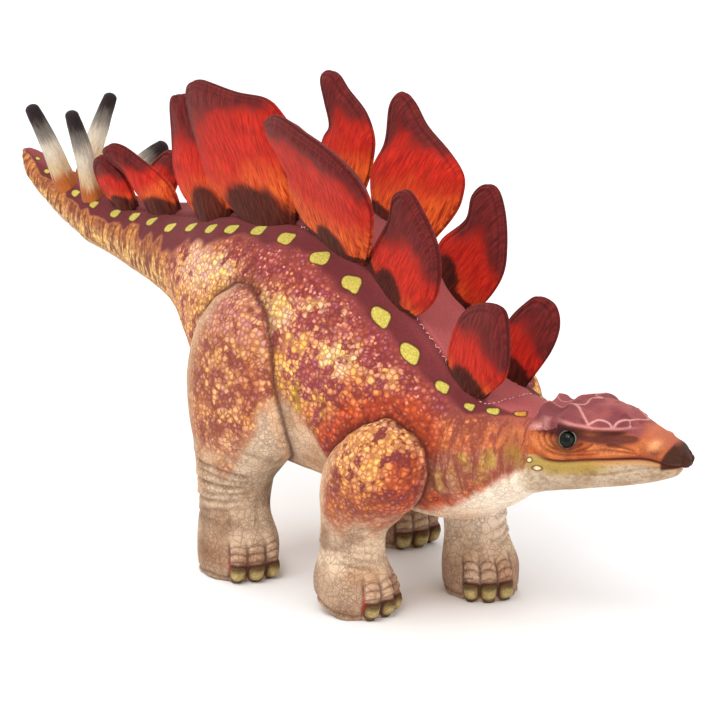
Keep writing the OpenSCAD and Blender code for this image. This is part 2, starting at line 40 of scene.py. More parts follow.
# a distance that counts as nowhere near a drawn line
FAR = 9.0
SIDES = {"right": -1, "left": 1}
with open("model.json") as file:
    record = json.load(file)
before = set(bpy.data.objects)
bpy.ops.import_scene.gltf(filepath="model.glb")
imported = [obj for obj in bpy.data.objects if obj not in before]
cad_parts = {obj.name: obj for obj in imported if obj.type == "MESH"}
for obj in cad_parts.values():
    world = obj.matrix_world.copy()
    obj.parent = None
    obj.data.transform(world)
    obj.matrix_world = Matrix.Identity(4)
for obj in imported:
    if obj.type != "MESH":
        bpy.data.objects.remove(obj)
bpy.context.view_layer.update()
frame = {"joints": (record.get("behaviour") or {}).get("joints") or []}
JOINTS = {joint["name"]: joint for joint in frame["joints"]}


# ---------------------------------------------------------------- helpers

def tint(red, green, blue):
    """Linear colour from 0-255 screen values."""
    c = np.array([red, green, blue], float) / 255
    return np.where(c <= 0.04045, c / 12.92, ((c + 0.055) / 1.055) ** 2.4)


def smooth(x, low=0.0, high=1.0):
    """0 below low, 1 above high (or the other way round when low is above high)."""
    t = np.clip((np.asarray(x, float) - low) / (high - low), 0, 1)
    return t * t * (3 - 2 * t)


def bell(x, width):
    """1 at zero, falling off smoothly to both sides."""
    return np.exp(-((np.asarray(x, float) / width) ** 2))


def mix(a, b, t):
    """From colour a at 0 to colour b at 1; t may be a whole grid."""
    t = np.asarray(t, float)
    if t.ndim:
        t = t[..., None]
    return a + (b - a) * t


def hermite(table, where):
    """A smooth curve through the rows of a table, read at row number where."""
    table = np.asarray(table, float)
    where = np.clip(np.asarray(where, float), 0, len(table) - 1)
    row = np.minimum(where.astype(int), len(table) - 2)
    t = (where - row)[..., None]
    slope = np.empty_like(table)
    slope[1:-1] = (table[2:] - table[:-2]) / 2
    slope[0] = table[1] - table[0]
    slope[-1] = table[-1] - table[-2]
    start = (2 * t**3 - 3 * t**2 + 1) * table[row] + (t**3 - 2 * t**2 + t) * slope[row]
    return start + (3 * t**2 - 2 * t**3) * table[row + 1] + (t**3 - t**2) * slope[row + 1]


def run_along(line):
    """Distance from the start of a line to each of its points."""
    return np.concatenate([[0], np.cumsum(np.linalg.norm(np.diff(line, axis=0), axis=1))])


def even_steps(line, count):
    """The same line as count points in equal steps."""
    run = run_along(line)
    at = np.linspace(0, run[-1], count)
    return np.stack([np.interp(at, run, line[:, k]) for k in range(line.shape[1])], -1)


def curve(points, step=0.5):
    """Evenly spaced points on a smooth curve through the given ones."""
    fine = hermite(points, np.linspace(0, len(points) - 1, 40 * (len(points) - 1) + 1))
    return even_steps(fine, max(2, int(run_along(fine)[-1] / step) + 1))


def line_gap(points, line, reach):
    """Distance from flat points to a chain of straight pieces, reach at most."""
    best = np.full(points.shape[:-1], reach)
    for start, end in zip(line[:-1], line[1:]):
        step = end - start
        t = np.clip(((points - start) @ step) / max(step @ step, 1e-9), 0, 1)
        best = np.minimum(best, np.linalg.norm(points - start - t[..., None] * step, axis=-1))
    return best


def away(a, b, points, reach=12.0):
    """Distance in a flat chart (a, b) to a smooth curve through points; far places read as reach."""
    line = curve(points)
    low, high = line.min(0) - reach, line.max(0) + reach
    near = (a > low[0]) & (a < high[0]) & (b > low[1]) & (b < high[1])
    out = np.full(a.shape, reach)
    out[near] = line_gap(np.stack([a[near], b[near]], -1), line, reach)
    return out


def away_from_any(a, b, lines):
    """Distance to the nearest of several curves, FAR at most."""
    return np.minimum(FAR, np.min([away(a, b, line) for line in lines], 0))


def noise(points, size, seed):
    """Smooth value noise from -1 to 1 with features of about size mm."""
    table = np.random.default_rng(seed).random(4096)
    scaled = np.asarray(points, float) / size
    cell = np.floor(scaled).astype(np.int64)
    part = scaled - cell
    part = part * part * (3 - 2 * part)
    out = np.zeros(scaled.shape[:-1])
    for corner in itertools.product((0, 1), repeat=3):
        weight = np.where(corner, part, 1 - part).prod(-1)
        x, y, z = np.moveaxis(cell + corner, -1, 0)
        spot = x * 73856093 ^ y * 19349663 ^ z * 83492791
        out += weight * table[(spot + seed * 977) & 4095]
    return out * 2 - 1


def degrees_from(angle, centre):
    """Signed angle from centre, between -180 and 180."""
    return (angle - centre + 180) % 360 - 180


def grid_normals(points):
    """Unit normals of a grid of rings (rows, columns, 3)."""
    across = np.roll(points, -1, 1) - np.roll(points, 1, 1)
    normals = np.cross(across, np.gradient(points, axis=0))
    return normals / np.maximum(np.linalg.norm(normals, axis=-1, keepdims=True), 1e-9)


def facing(normals, guide):
    """The normals, turned to the side that the guide vectors point to."""
    return normals * np.sign((normals * guide).sum(-1, keepdims=True))


def quads_between(index):
    """Quads between the neighbouring points of a table of point numbers."""
    return np.stack([index[:-1, :-1], index[:-1, 1:], index[1:, 1:], index[1:, :-1]], -1).reshape(-1, 4)


def grid_faces(rows, columns, ring=False, tube=False):
    """Quads of a grid of points; ring joins the last column to the first, tube the last row to the first."""
    index = np.arange(rows * columns).reshape(rows, columns)
    if ring:
        index = np.concatenate([index, index[:, :1]], 1)
    if tube:
        index = np.concatenate([index, index[:1]], 0)
    return quads_between(index)


def other_way(faces):
    """The same quads seen from the other side, each from the same corner."""
    return faces[:, [0, 3, 2, 1]]


def flat_colour(like, colour):
    """One colour for every point of a grid."""
    return np.zeros(np.shape(like) + (3,)) + colour


def add_mesh(name, points, faces, material, body=None, hides=(), values=None,
             normals=None):
    """A mesh piece from points in mm, on its body, with values stored at its points."""
    mesh = bpy.data.meshes.new(name)
    mesh.from_pydata((np.asarray(points) * MM).tolist(), [], [list(map(int, f)) for f in faces])
    for key, data in (values or {}).items():
        data = np.asarray(data, np.float32)
        if data.ndim == 1:
            mesh.attributes.new(key, "FLOAT", "POINT").data.foreach_set("value", data)
        elif key.startswith("rgb"):
            rgba = np.concatenate([data, np.ones((len(data), 1), np.float32)], 1)
            mesh.attributes.new(key, "FLOAT_COLOR", "POINT").data.foreach_set("color", rgba.ravel())
        else:
            mesh.attributes.new(key, "FLOAT_VECTOR", "POINT").data.foreach_set("vector", data.ravel())
    shade_smooth(mesh)
    if normals is not None:
        mesh.normals_split_custom_set_from_vertices(np.asarray(normals).tolist())
    mesh.materials.append(material)
    piece = bpy.data.objects.new(name, mesh)
    bpy.context.scene.collection.objects.link(piece)
    if hides:
        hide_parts(*hides)
    if body:
        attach(piece, body)
    return piece


def shade_smooth(mesh):
    mesh.polygons.foreach_set("use_smooth", [True] * len(mesh.polygons))


def face_outward(piece, weld=False):
    """Turns every face outward, after welding doubled points where asked."""
    form = bmesh.new()
    form.from_mesh(piece.data)
    if weld:
        bmesh.ops.remove_doubles(form, verts=form.verts, dist=1e-6)
        bmesh.ops.dissolve_degenerate(form, edges=form.edges, dist=1e-7)
    bmesh.ops.recalc_face_normals(form, faces=form.faces)
    form.to_mesh(piece.data)
    form.free()
    shade_smooth(piece.data)


# ---------------------------------------------------------------- materials

class Nodes:
    """Short names for the shader nodes that the fabrics share."""

    def __init__(self, name):
        self.material = bpy.data.materials.new(name)
        self.material.use_nodes = True
        self.tree = self.material.node_tree
        self.tree.nodes.clear()

    def put(self, socket, value):
        if isinstance(value, bpy.types.NodeSocket):
            self.tree.links.new(value, socket)
        elif isinstance(value, np.ndarray):
            socket.default_value = [*value, 1.0][: len(socket.default_value)]
        else:
            socket.default_value = value

    def node(self, kind, out=0, settings=None, **inputs):
        """A node's output; an input is named, or numbered as i0, i1 and so on."""
        node = self.tree.nodes.new(kind)
        for key, value in (settings or {}).items():
            setattr(node, key, value)
        for key, value in inputs.items():
            numbered = key[0] == "i" and key[1:].isdigit()
            self.put(node.inputs[int(key[1:]) if numbered else key], value)
        return node.outputs[out]

    def attribute(self, name, out="Fac"):
        return self.node("ShaderNodeAttribute", out, {"attribute_name": name})

    def math(self, operation, a, b=0.0):
        return self.node("ShaderNodeMath", 0, {"operation": operation}, i0=a, i1=b)

    def mul(self, a, b):
        return self.math("MULTIPLY", a, b)

    def add(self, a, b):
        return self.math("ADD", a, b)

    def less(self, a, b):
        return self.math("SUBTRACT", a, b)

    def vector(self, operation, a, **other):
        return self.node("ShaderNodeVectorMath", 0, {"operation": operation}, i0=a, **other)

    def blend(self, factor, a, b, mode="MIX"):
        return self.node("ShaderNodeMix", 2, {"data_type": "RGBA", "blend_type": mode}, i0=factor, i6=a, i7=b)

    def ramp(self, value, low, high, to_low=0.0, to_high=1.0):
        return self.node("ShaderNodeMapRange", 0, {"interpolation_type": "SMOOTHSTEP"},
                         i0=value, i1=low, i2=high, i3=to_low, i4=to_high)

    def stretch(self, vector, scale):
        return self.vector("MULTIPLY", vector, i1=Vector(scale))

    def noise(self, vector, scale, detail=2.0, rough=0.5, out="Fac"):
        return self.node("ShaderNodeTexNoise", out, None, Vector=vector, Scale=scale, Detail=detail,
                         Roughness=rough)

    def cells(self, vector, scale, feature="F1", out="Distance", random=1.0):
        return self.node("ShaderNodeTexVoronoi", out, {"feature": feature}, Vector=vector, Scale=scale,
                         Randomness=random)

    def channel(self, colour, number):
        return self.node("ShaderNodeSeparateColor", number, None, Color=colour)

    def wander(self, vector, scale, amount):
        """The vector pushed about by noise, so that drawn cells and lines aren't regular."""
        push = self.noise(vector, scale, 2.0, 0.5, "Color")
        centred = self.vector("SUBTRACT", push, i1=Vector((0.5, 0.5, 0.5)))
        return self.vector("ADD", vector, i1=self.vector("SCALE", centred, Scale=amount))

    def shaded(self, colour, *parts):
        """The colour times one grey value, or times a red, a green and a blue one."""
        red, green, blue = parts * 3 if len(parts) == 1 else parts
        factor = self.node("ShaderNodeCombineColor", 0, None, i0=red, i1=green, i2=blue)
        return self.blend(1.0, colour, factor, "MULTIPLY")

    def deepened(self, colour, gamma):
        return self.node("ShaderNodeGamma", 0, None, Color=colour, Gamma=gamma)

    def bump(self, height, distance, strength=1.0, under=None):
        link = {} if under is None else {"Normal": under}
        return self.node("ShaderNodeBump", Strength=strength, Distance=distance, Height=height, **link)

    def finish(self, colour, normal=None, roughness=0.85, sheen=0.0, sheen_tint=(1, 1, 1), **extra):
        shader = self.tree.nodes.new("ShaderNodeBsdfPrincipled")
        self.put(shader.inputs["Base Color"], colour)
        self.put(shader.inputs["Roughness"], roughness)
        shader.inputs["Sheen Weight"].default_value = sheen
        shader.inputs["Sheen Roughness"].default_value = 0.45
        shader.inputs["Sheen Tint"].default_value = (*sheen_tint, 1)
        for key, value in extra.items():
            shader.inputs[key.replace("_", " ")].default_value = value
        if normal is not None:
            self.put(shader.inputs["Normal"], normal)
        output = self.tree.nodes.new("ShaderNodeOutputMaterial")
        self.tree.links.new(shader.outputs[0], output.inputs[0])
        return self.material


PEBBLE_SIZE, PEBBLE_ORDER = 0.47, 0.85
FABRIC_GLOSS = 0.18


def pebble_print(m, colour, rest, base, alt):
    """Round grains in dark gaps, each in one of two colours by the patch it is in, with a painted highlight
    in its middle; also the gaps' depth.
    """
    drift = m.wander(rest, 0.45, 1.1)
    own = m.cells(drift, PEBBLE_SIZE, "F1", "Color", PEBBLE_ORDER)
    red, green = m.channel(own, 0), m.channel(own, 1)
    cluster = m.noise(rest, 0.13, 3.0, 0.62)
    chance = m.add(m.attribute("alt_share"), m.mul(m.less(cluster, 0.5), 2.6))
    pick = m.ramp(m.less(chance, m.add(m.mul(red, 0.7), 0.15)), -0.14, 0.14)
    grain = m.shaded(m.blend(pick, base, alt), m.ramp(green, 0, 1, 0.84, 1.16),
                     m.ramp(green, 0, 1, 0.78, 1.22), m.ramp(red, 0, 1, 0.76, 1.24))
    edge = m.cells(drift, PEBBLE_SIZE, "DISTANCE_TO_EDGE", "Distance", PEBBLE_ORDER)
    centre = m.cells(drift, PEBBLE_SIZE, "F1", "Distance", PEBBLE_ORDER)
    gap = m.math("MAXIMUM", m.ramp(edge, 0.03, 0.17, 1.0, 0.0), m.mul(m.ramp(centre, 0.40, 0.62), 0.8))
    # painted highlight: the middle of each grain is lightened so that it looks rounded
    grain = m.blend(m.mul(m.ramp(centre, 0.34, 0.08), 0.24), grain, tint(255, 218, 178))
    grain = m.blend(m.mul(gap, 0.55), grain, tint(128, 52, 38))
    return m.blend(m.attribute("pebble"), colour, grain), edge


def pale_spots(m, colour, rest):
    """Pale spots strewn over the upper flank."""
    drift = m.wander(rest, 0.5, 0.8)
    chosen = m.less(m.attribute("spots"), m.channel(m.cells(drift, 0.42, "F1", "Color"), 0))
    spot = m.mul(m.ramp(m.cells(drift, 0.42, "F1"), 0.22, 0.34, 0.9, 0.0), m.ramp(chosen, 0.0, 0.04))
    return m.blend(spot, colour, tint(238, 168, 140))


def streaks(m, colour, flow, alt):
    """Streaks that hang down the neck and tail."""
    streak = m.noise(m.wander(m.stretch(flow, (0.42, 0.10, 1.0)), 1.4, 0.7), 1.0, 4.0, 0.65)
    return m.blend(m.mul(m.attribute("streak"), m.ramp(streak, 0.46, 0.60)), colour, alt)


def crackle(m, colour, rest):
    """Small cells with soft lines, stronger and browner in clouds."""
    coarse = m.cells(m.wander(rest, 0.3, 2.0), 0.27, "DISTANCE_TO_EDGE")
    fine = m.cells(m.wander(rest, 0.6, 1.2), 0.52, "DISTANCE_TO_EDGE")
    fade = m.ramp(m.noise(rest, 0.10, 3.0, 0.6), 0.38, 0.62)
    speck = m.ramp(m.noise(rest, 0.9, 3.0, 0.7), 0.50, 0.68)
    fine_line = m.mul(m.ramp(fine, 0.0, 0.14, 0.5, 0.0), fade)
    line = m.math("MAXIMUM", m.ramp(coarse, 0.0, 0.085, 0.36, 0.0), fine_line)
    line = m.math("MAXIMUM", line, m.mul(m.mul(speck, fade), 0.5))
    return m.blend(m.mul(line, m.attribute("crackle")), colour, tint(96, 60, 42))


def outlined_marks(m, colour, rest):
    """Scutes and nails: a filled shape with a thin dark line round it, from a signed distance."""
    mark = m.attribute("mark")
    speckle = m.ramp(m.noise(rest, 1.3, 2.0, 0.5), 0.35, 0.65, 0.88, 1.12)
    fill = m.shaded(m.attribute("rgb_mark", "Color"), speckle)
    colour = m.blend(m.ramp(mark, -0.15, 0.15, 1.0, 0.0), colour, fill)
    line = m.ramp(m.math("ABSOLUTE", mark), 0.15, 0.5, 1.0, 0.0)
    return m.blend(m.mul(line, 0.7), colour, tint(88, 44, 34))


def hide_material():
    """Printed short-pile plush: pebbles, crackle, spots, streaks and outlined scutes over painted colours,
    with painted shade and highlights.
    """
    m = Nodes("printed_plush")
    rest = m.attribute("rest", "Vector")
    flow = m.attribute("flow", "Vector")
    base = m.attribute("rgb_base", "Color")
    alt = m.attribute("rgb_alt", "Color")
    clouds = m.ramp(m.noise(rest, 0.11, 4.0, 0.6), 0.46, 0.62)
    colour = m.blend(m.mul(m.attribute("mottle"), clouds), base, alt)
    colour, edge = pebble_print(m, colour, rest, base, alt)
    colour = pale_spots(m, colour, rest)
    colour = streaks(m, colour, flow, alt)
    colour = crackle(m, colour, rest)
    colour = outlined_marks(m, colour, rest)
    # drawn lines, together with painted shade in seams, folds and where the legs meet the trunk
    colour = m.blend(m.attribute("ink"), colour, m.attribute("rgb_ink", "Color"))
    tuft = m.noise(m.stretch(flow, (1.0, 0.45, 1.0)), 2.6, 3.0, 0.7)
    colour = m.deepened(m.shaded(colour, m.ramp(tuft, 0.3, 0.7, 0.86, 1.13)), 1.22)
    pile = m.bump(tuft, 0.00022, 0.6)
    grains = m.bump(m.mul(m.ramp(edge, 0.0, 0.3), m.attribute("pebble")), 0.00012, 0.5, pile)
    return m.finish(colour, grains, 0.9, 0.07, (1.0, 0.93, 0.88), Specular_IOR_Level=FABRIC_GLOSS)


def plate_material():
    """Long-brushed plush of the back plates: dark tip, red middle, gold lower part, maroon root."""
    m = Nodes("plate_plush")
    place = m.attribute("leaf", "Vector")
    hair = m.noise(m.wander(m.stretch(place, (0.95, 0.11, 0.6)), 0.6, 0.5), 1.0, 4.0, 0.65)
    fine = m.noise(m.stretch(place, (2.6, 0.22, 1.0)), 1.0, 3.0, 0.7)
    wide = m.noise(m.stretch(place, (0.09, 0.05, 0.2)), 1.0, 3.0, 0.55)
    jag = m.add(m.mul(m.less(hair, 0.5), 0.55), m.mul(m.less(wide, 0.5), 0.35))
    share = m.add(m.attribute("share"), jag)
    red = m.blend(m.ramp(hair, 0.34, 0.68), tint(172, 42, 30), tint(218, 68, 44))
    gold = m.blend(m.ramp(hair, 0.36, 0.66), tint(190, 66, 36), tint(240, 138, 66))
    colour = m.blend(m.ramp(share, 0.46, 0.22), red, gold)
    tip = m.blend(m.ramp(hair, 0.33, 0.68), tint(98, 38, 40), tint(132, 56, 54))
    colour = m.blend(m.mul(m.ramp(share, 0.58, 0.80), 0.94), colour, tip)
    root = m.blend(m.ramp(hair, 0.35, 0.65), tint(44, 14, 14), tint(92, 34, 24))
    low = m.ramp(m.add(m.attribute("root"), m.mul(jag, 1.1)), 0.42, 0.62)
    colour = m.blend(m.mul(low, 0.9), colour, root)
    # painted shade in the grooves of the edge seam
    colour = m.blend(m.mul(m.attribute("rim"), 0.42), colour, tint(104, 42, 38))
    colour = m.deepened(m.shaded(colour, m.ramp(fine, 0.3, 0.7, 0.86, 1.13)), 1.3)
    tufts = m.bump(fine, 0.0003, 0.6, m.bump(hair, 0.0004, 0.35))
    return m.finish(colour, tufts, 0.85, 0.08, (1.0, 0.75, 0.65), Specular_IOR_Level=FABRIC_GLOSS)


def spike_material():
    """Brushed plush of the tail spikes: tan root, cream, grey, then a dark tip."""
    m = Nodes("spike_plush")
    place = m.attribute("leaf", "Vector")
    hair = m.noise(m.stretch(place, (0.8, 0.1, 0.8)), 1.0, 4.0, 0.65)
    fine = m.noise(m.stretch(place, (2.4, 0.3, 2.4)), 1.0, 3.0, 0.7)
    share = m.add(m.attribute("share"), m.mul(m.less(hair, 0.5), 0.34))
    colour = tint(184, 112, 62)
    for low, high, next_colour in ((0.04, 0.24, tint(208, 184, 150)), (0.24, 0.46, tint(212, 200, 182)),
                                   (0.48, 0.74, tint(134, 126, 118)), (0.72, 0.92, tint(56, 44, 44))):
        colour = m.blend(m.ramp(share, low, high), colour, next_colour)
    colour = m.deepened(m.shaded(colour, m.ramp(fine, 0.3, 0.7, 0.82, 1.14)), 1.2)
    return m.finish(colour, m.bump(fine, 0.00025, 0.6), 0.88, 0.08, Specular_IOR_Level=FABRIC_GLOSS)


def plain_material(name, colour, roughness, grain_scale=None, grain_depth=0.0, **extra):
    """One colour, with a fine grain where grain_scale is given."""
    m = Nodes(name)
    normal = None
    if grain_scale:
        grain = m.noise(m.node("ShaderNodeTexCoord", "Object"), grain_scale, 2.0, 0.5)
        colour = m.shaded(colour, m.ramp(grain, 0.3, 0.7, 0.9, 1.08))
        normal = m.bump(grain, grain_depth, 0.5)
    return m.finish(colour, normal, roughness, **extra)


HIDE = hide_material()
PLATE = plate_material()
SPIKE = spike_material()
THREAD = plain_material("thread", tint(224, 176, 168), 0.7, 3000.0, 0.00005, sheen=0.2)
EYE = plain_material("eye_gloss", tint(6, 12, 6), 0.03, Specular_IOR_Level=0.2)
EYE_RIM = plain_material("eye_rim", tint(96, 92, 74), 0.35, Specular_IOR_Level=0.5)


# ---------------------------------------------------------------- trunk: form

# x, y, turn, z of the top, z of the widest line, z of the bottom, half width
STATIONS = [
    [-191, 0, 0, 134, 132.5, 130, 2.5], [-187, 0, 0, 133.5, 130, 126, 5.5],
    [-178, 0, 0, 131, 125, 118.5, 8.5], [-160, 0, 0, 127.5, 119, 110, 11],
    [-145, 0, 0, 126, 115, 105, 12.8], [-130, 0, 0, 125, 113, 101, 14.5],
    [-108, 0, 0, 125, 111.5, 98, 17], [-85, 0, 0, 128, 110, 93.5, 21],
    [-61, 0, 0, 132, 108, 87, 26.5], [-48, 0, 0, 135, 103, 79, 31],
    [-22, 0, 0, 140, 94, 55, 41], [10, 0, 0, 144, 88, 42, 46],
    [38, 0, 0, 141, 84, 40, 46], [60, 0, 0, 132, 78, 38.5, 43],
    [80, 0, 0, 117, 72, 37.5, 39], [98, 0, 0, 102, 68, 38.5, 33.5],
    [108, 0, 0, 96.5, 67.5, 42, 29.5], [118, 0.8, 0, 92.5, 67.5, 47, 26],
    [127, 2.2, 10, 90, 69, 52.5, 23.5], [136, 5, 20, 89.5, 71, 57, 20.5],
    [142, 7, 24, 91, 72, 59, 19], [151, 11, 24, 94.5, 73, 61, 19],
    [160, 15, 24, 94.5, 74, 63, 16.6], [169, 19, 24, 90.6, 75, 65, 13],
    [177, 22.5, 24, 86, 75.5, 67, 10], [182.5, 25, 24, 82.6, 76, 68.5, 7.9],
    [184.8, 26, 24, 80, 76, 70.5, 5.8], [185.8, 26.5, 24, 78.2, 75.5, 73, 3.4],
]
X_SHIFT = 0.64
ROUND = 2 / 2.1
NECK_ROW = 17
TAIL_END, HEAD_START = -191, 128
# columns of the grid over one half: back strip, side, half of the belly
STRIP, SIDE_PANEL, BELLY = 20, 104, 24
HALF = STRIP + SIDE_PANEL + BELLY
HEAD_CUT, TAIL_CUT, TIP_CUT = 104.0, -46.0, -112.0

station_row = np.linspace(0, len(STATIONS) - 1, 4001)
station_run = run_along(hermite(STATIONS, station_row)[:, :2])
station_run += STATIONS[NECK_ROW][0] - np.interp(NECK_ROW, station_row, station_run)


def seam_out(s):
    """How far out from the centre line the plate seam runs."""
    return np.interp(s, [-191, -178, -130, -112, -80, -60, -40, -5, 40, 68, 80, 92, 108, 118, 135, 194],
                     [1, 4, 7.2, 8, 10, 13, 15.5, 17, 16.5, 13.5, 11.6, 10.6, 10.5, 10.5, 10, 2])


def rows_along():
    """For each ring: distance along, station row, shrink, and how far it lies beyond the last station."""
    cuts = [TAIL_END, TIP_CUT, TAIL_CUT, HEAD_CUT]
    tail_reach, snout_reach = 2.2, 2.0
    rings = [np.arange(low, high, 1.1) for low, high in zip(cuts[:-1], cuts[1:])]
    rings.append(np.arange(HEAD_CUT, HEAD_START, 0.9))
    rings.append(np.arange(HEAD_START, station_run[-1], 0.5)[:-1])
    s = np.concatenate(rings + [[station_run[-1]]])
    u = np.interp(s, station_run, station_row)
    turn = np.radians([14, 30, 48, 66, 80, 90])
    tail_end, snout_end = -tail_reach * np.sin(turn[::-1]), snout_reach * np.sin(turn)
    shrink = np.concatenate([np.cos(turn[::-1]), np.ones(len(u)), np.cos(turn)])
    beyond = np.concatenate([tail_end, np.zeros(len(u)), snout_end])
    s = np.concatenate([s[0] + tail_end, s, s[-1] + snout_end])
    u = np.concatenate([np.zeros(len(turn)), u, np.full(len(turn), len(STATIONS) - 1.0)])
    return s, u, shrink, beyond


def mirrored(half):
    """A whole ring's columns from those of one half, whose first and last lie on the centre line."""
    return np.concatenate([half, half[:, -2:0:-1]], 1)


def panel_angles():
    """Angle from the top of every column over one half; panels start and end on the seams."""
    seam = np.degrees(np.arcsin(np.clip(seam_out(row_s) / stations[:, 6], 0, 0.8)))[:, None]
    belly = (142 - 22 * smooth(row_s, TAIL_CUT + 4, -66))[:, None]
    widths = (STRIP, SIDE_PANEL, BELLY)
    strip_share, side_share, belly_share = (np.linspace(0, 1, n + 1)[None, :] for n in widths)
    return np.concatenate([seam * strip_share[:, :-1], seam + (belly - seam) * side_share[:, :-1],
                           belly + (180 - belly) * belly_share], 1)


def trunk_points():
    """Points of the plain trunk, with their distance across and height."""
    x0, y0, turn, top, widest, bottom, half_width = (stations[:, k:k + 1] for k in range(7))
    a = np.radians(90 - PHI)
    c, k = np.cos(a), np.sin(a)
    shrink, beyond, turn = row_shrink[:, None], row_beyond[:, None], np.radians(turn)
    across = SIDE * half_width * shrink * np.abs(c) ** ROUND
    height = np.where(k > 0, top - widest, widest - bottom)
    z = widest + height * shrink * np.sign(k) * np.abs(k) ** ROUND
    x = x0 + beyond * np.cos(turn) - across * np.sin(turn) + X_SHIFT
    y = y0 + beyond * np.sin(turn) + across * np.cos(turn)
    return np.stack([x, y, z], -1), across, z


row_s, station_number, row_shrink, row_beyond = rows_along()
stations = hermite(STATIONS, station_number)
PHI = mirrored(panel_angles())
SIDE = np.where(np.arange(2 * HALF) <= HALF, -1.0, 1.0) * np.ones_like(PHI)
S = row_s[:, None] * np.ones_like(PHI)
P0, ACROSS, Z = trunk_points()
OUT = np.abs(ACROSS)
steps = np.linalg.norm(np.diff(P0[:, : HALF + 1], axis=1), axis=-1)
half_arc = np.concatenate([np.zeros((len(row_s), 1)), np.cumsum(steps, 1)], 1)
FROM_TOP = mirrored(half_arc)
SEAM_GAP = FROM_TOP - half_arc[:, STRIP][:, None]
BELLY_GAP = FROM_TOP - half_arc[:, STRIP + SIDE_PANEL][:, None]
N0 = grid_normals(P0)
head_on = smooth(S, 130, 140)

# lines drawn and sewn on the head, as (distance along, height)
MOUTH = [(137.9, 80.5), (138.6, 78.6), (140, 76.3), (144, 75), (150, 75.2), (157, 76.2), (164, 76.9),
         (171, 77.4), (178, 77.8), (183, 77), (187.5, 75.6), (191, 74.6)]
MOUTH_CORNER = 2
BROW = [(136.5, 88.2), (141, 87.4), (147, 87.2), (153, 87), (160, 86.8), (168, 86.8), (175, 87.3),
        (180, 86.4), (185, 84)]
JAW = [(158, 70.6), (166, 71.4), (174, 73.2), (181, 74.6), (187, 75)]
WRINKLES = [
    [(139.6, 86.2), (139.4, 82.6), (142, 79.2), (147.6, 77.7), (155.5, 78.2), (163, 79.2)],
    [(141.4, 85.6), (141.6, 82.2), (144.6, 79.7), (151.5, 78.9), (157.4, 80.2), (160.6, 82.3)],
    [(143.6, 84.6), (144.4, 81.6), (148.4, 79.6), (153.4, 80.2), (156.6, 82.2)],
    [(158, 79.6), (164, 80.4), (170, 80.2), (176, 79.6)], [(166, 82.2), (171, 81.6), (175.6, 80.4)],
]
# the seam round the nape and the pale polygon lines on the crown, as (distance along, distance out)
NAPE = [(110, 11.5), (114, 12.6), (117.5, 12.6), (120, 10), (121.4, 5), (121.8, 0)]
CROWN = [
    [(137.5, 6), (140, 2.5), (144, 4.6), (149.5, 6.1), (154.8, 11), (158.4, 13.6)],
    [(149.5, 6.1), (153.8, 6.4), (154.4, 1.8), (158, 0)],
    [(154.8, 11), (152.6, 8.4), (149.5, 6.1)],
    [(158.4, 13.6), (161, 11.2), (165, 10.8), (166.6, 11.8)],
    [(166.6, 11.8), (167.8, 8.9), (170.8, 6.2), (172, 8), (172.6, 10.3)],
    [(170.8, 6.2), (174, 2.8), (176, 0)], [(137.5, 6), (137, 9.5)],
]
EYE_S, EYE_Z = 150.5, 83.4
NOSTRIL_S = 181.8
# on the crown the brow counts as an edge only in front of this place
CROWN_BROW_S = 146


def height_over(line):
    """Height above a line given as (distance along, height)."""
    return Z - np.interp(S, *np.transpose(line))


mouth_gap = away(S, Z, MOUTH)
jaw_gap = away(S, Z, JAW)
eye_gap = np.hypot(S - EYE_S, (Z - EYE_Z) * 1.08)
wrinkle_gap = away_from_any(S, Z, WRINKLES) + 0.25 * noise(P0, 3, 44)
crown_gap = away_from_any(S, OUT, CROWN)
over_brow = height_over(BROW)
over_lip = height_over(MOUTH[MOUTH_CORNER:])

# along, lean, depth, width
NECK_FOLDS = [(110, 0.16, 0.8, 1.3), (114.5, 0.12, 0.9, 1.0), (118.5, 0.1, 0.7, 0.9), (122.5, 0.08, 1.0, 1.1),
              (126.5, 0.05, 0.8, 0.9), (130.5, 0.02, 0.9, 1.0), (134.3, 0, 0.9, 0.8)]
# along and height of both ends, depth
FLANK_FOLDS = [(44, 52, 42, 84, 1.0), (-30, 74, -38, 92, 0.8), (108, 48, 105, 66, 0.9), (56, 50, 64, 60, 0.5),
               (-44, 84, -50, 98, 0.6), (50, 46, 47, 60, 0.5)]


def sewn(gap, depth, width, roll, roll_at, roll_width):
    """A seam's groove with a soft roll of fabric on each side."""
    return -depth * bell(gap, width), roll * bell(np.abs(gap) - roll_at, roll_width)


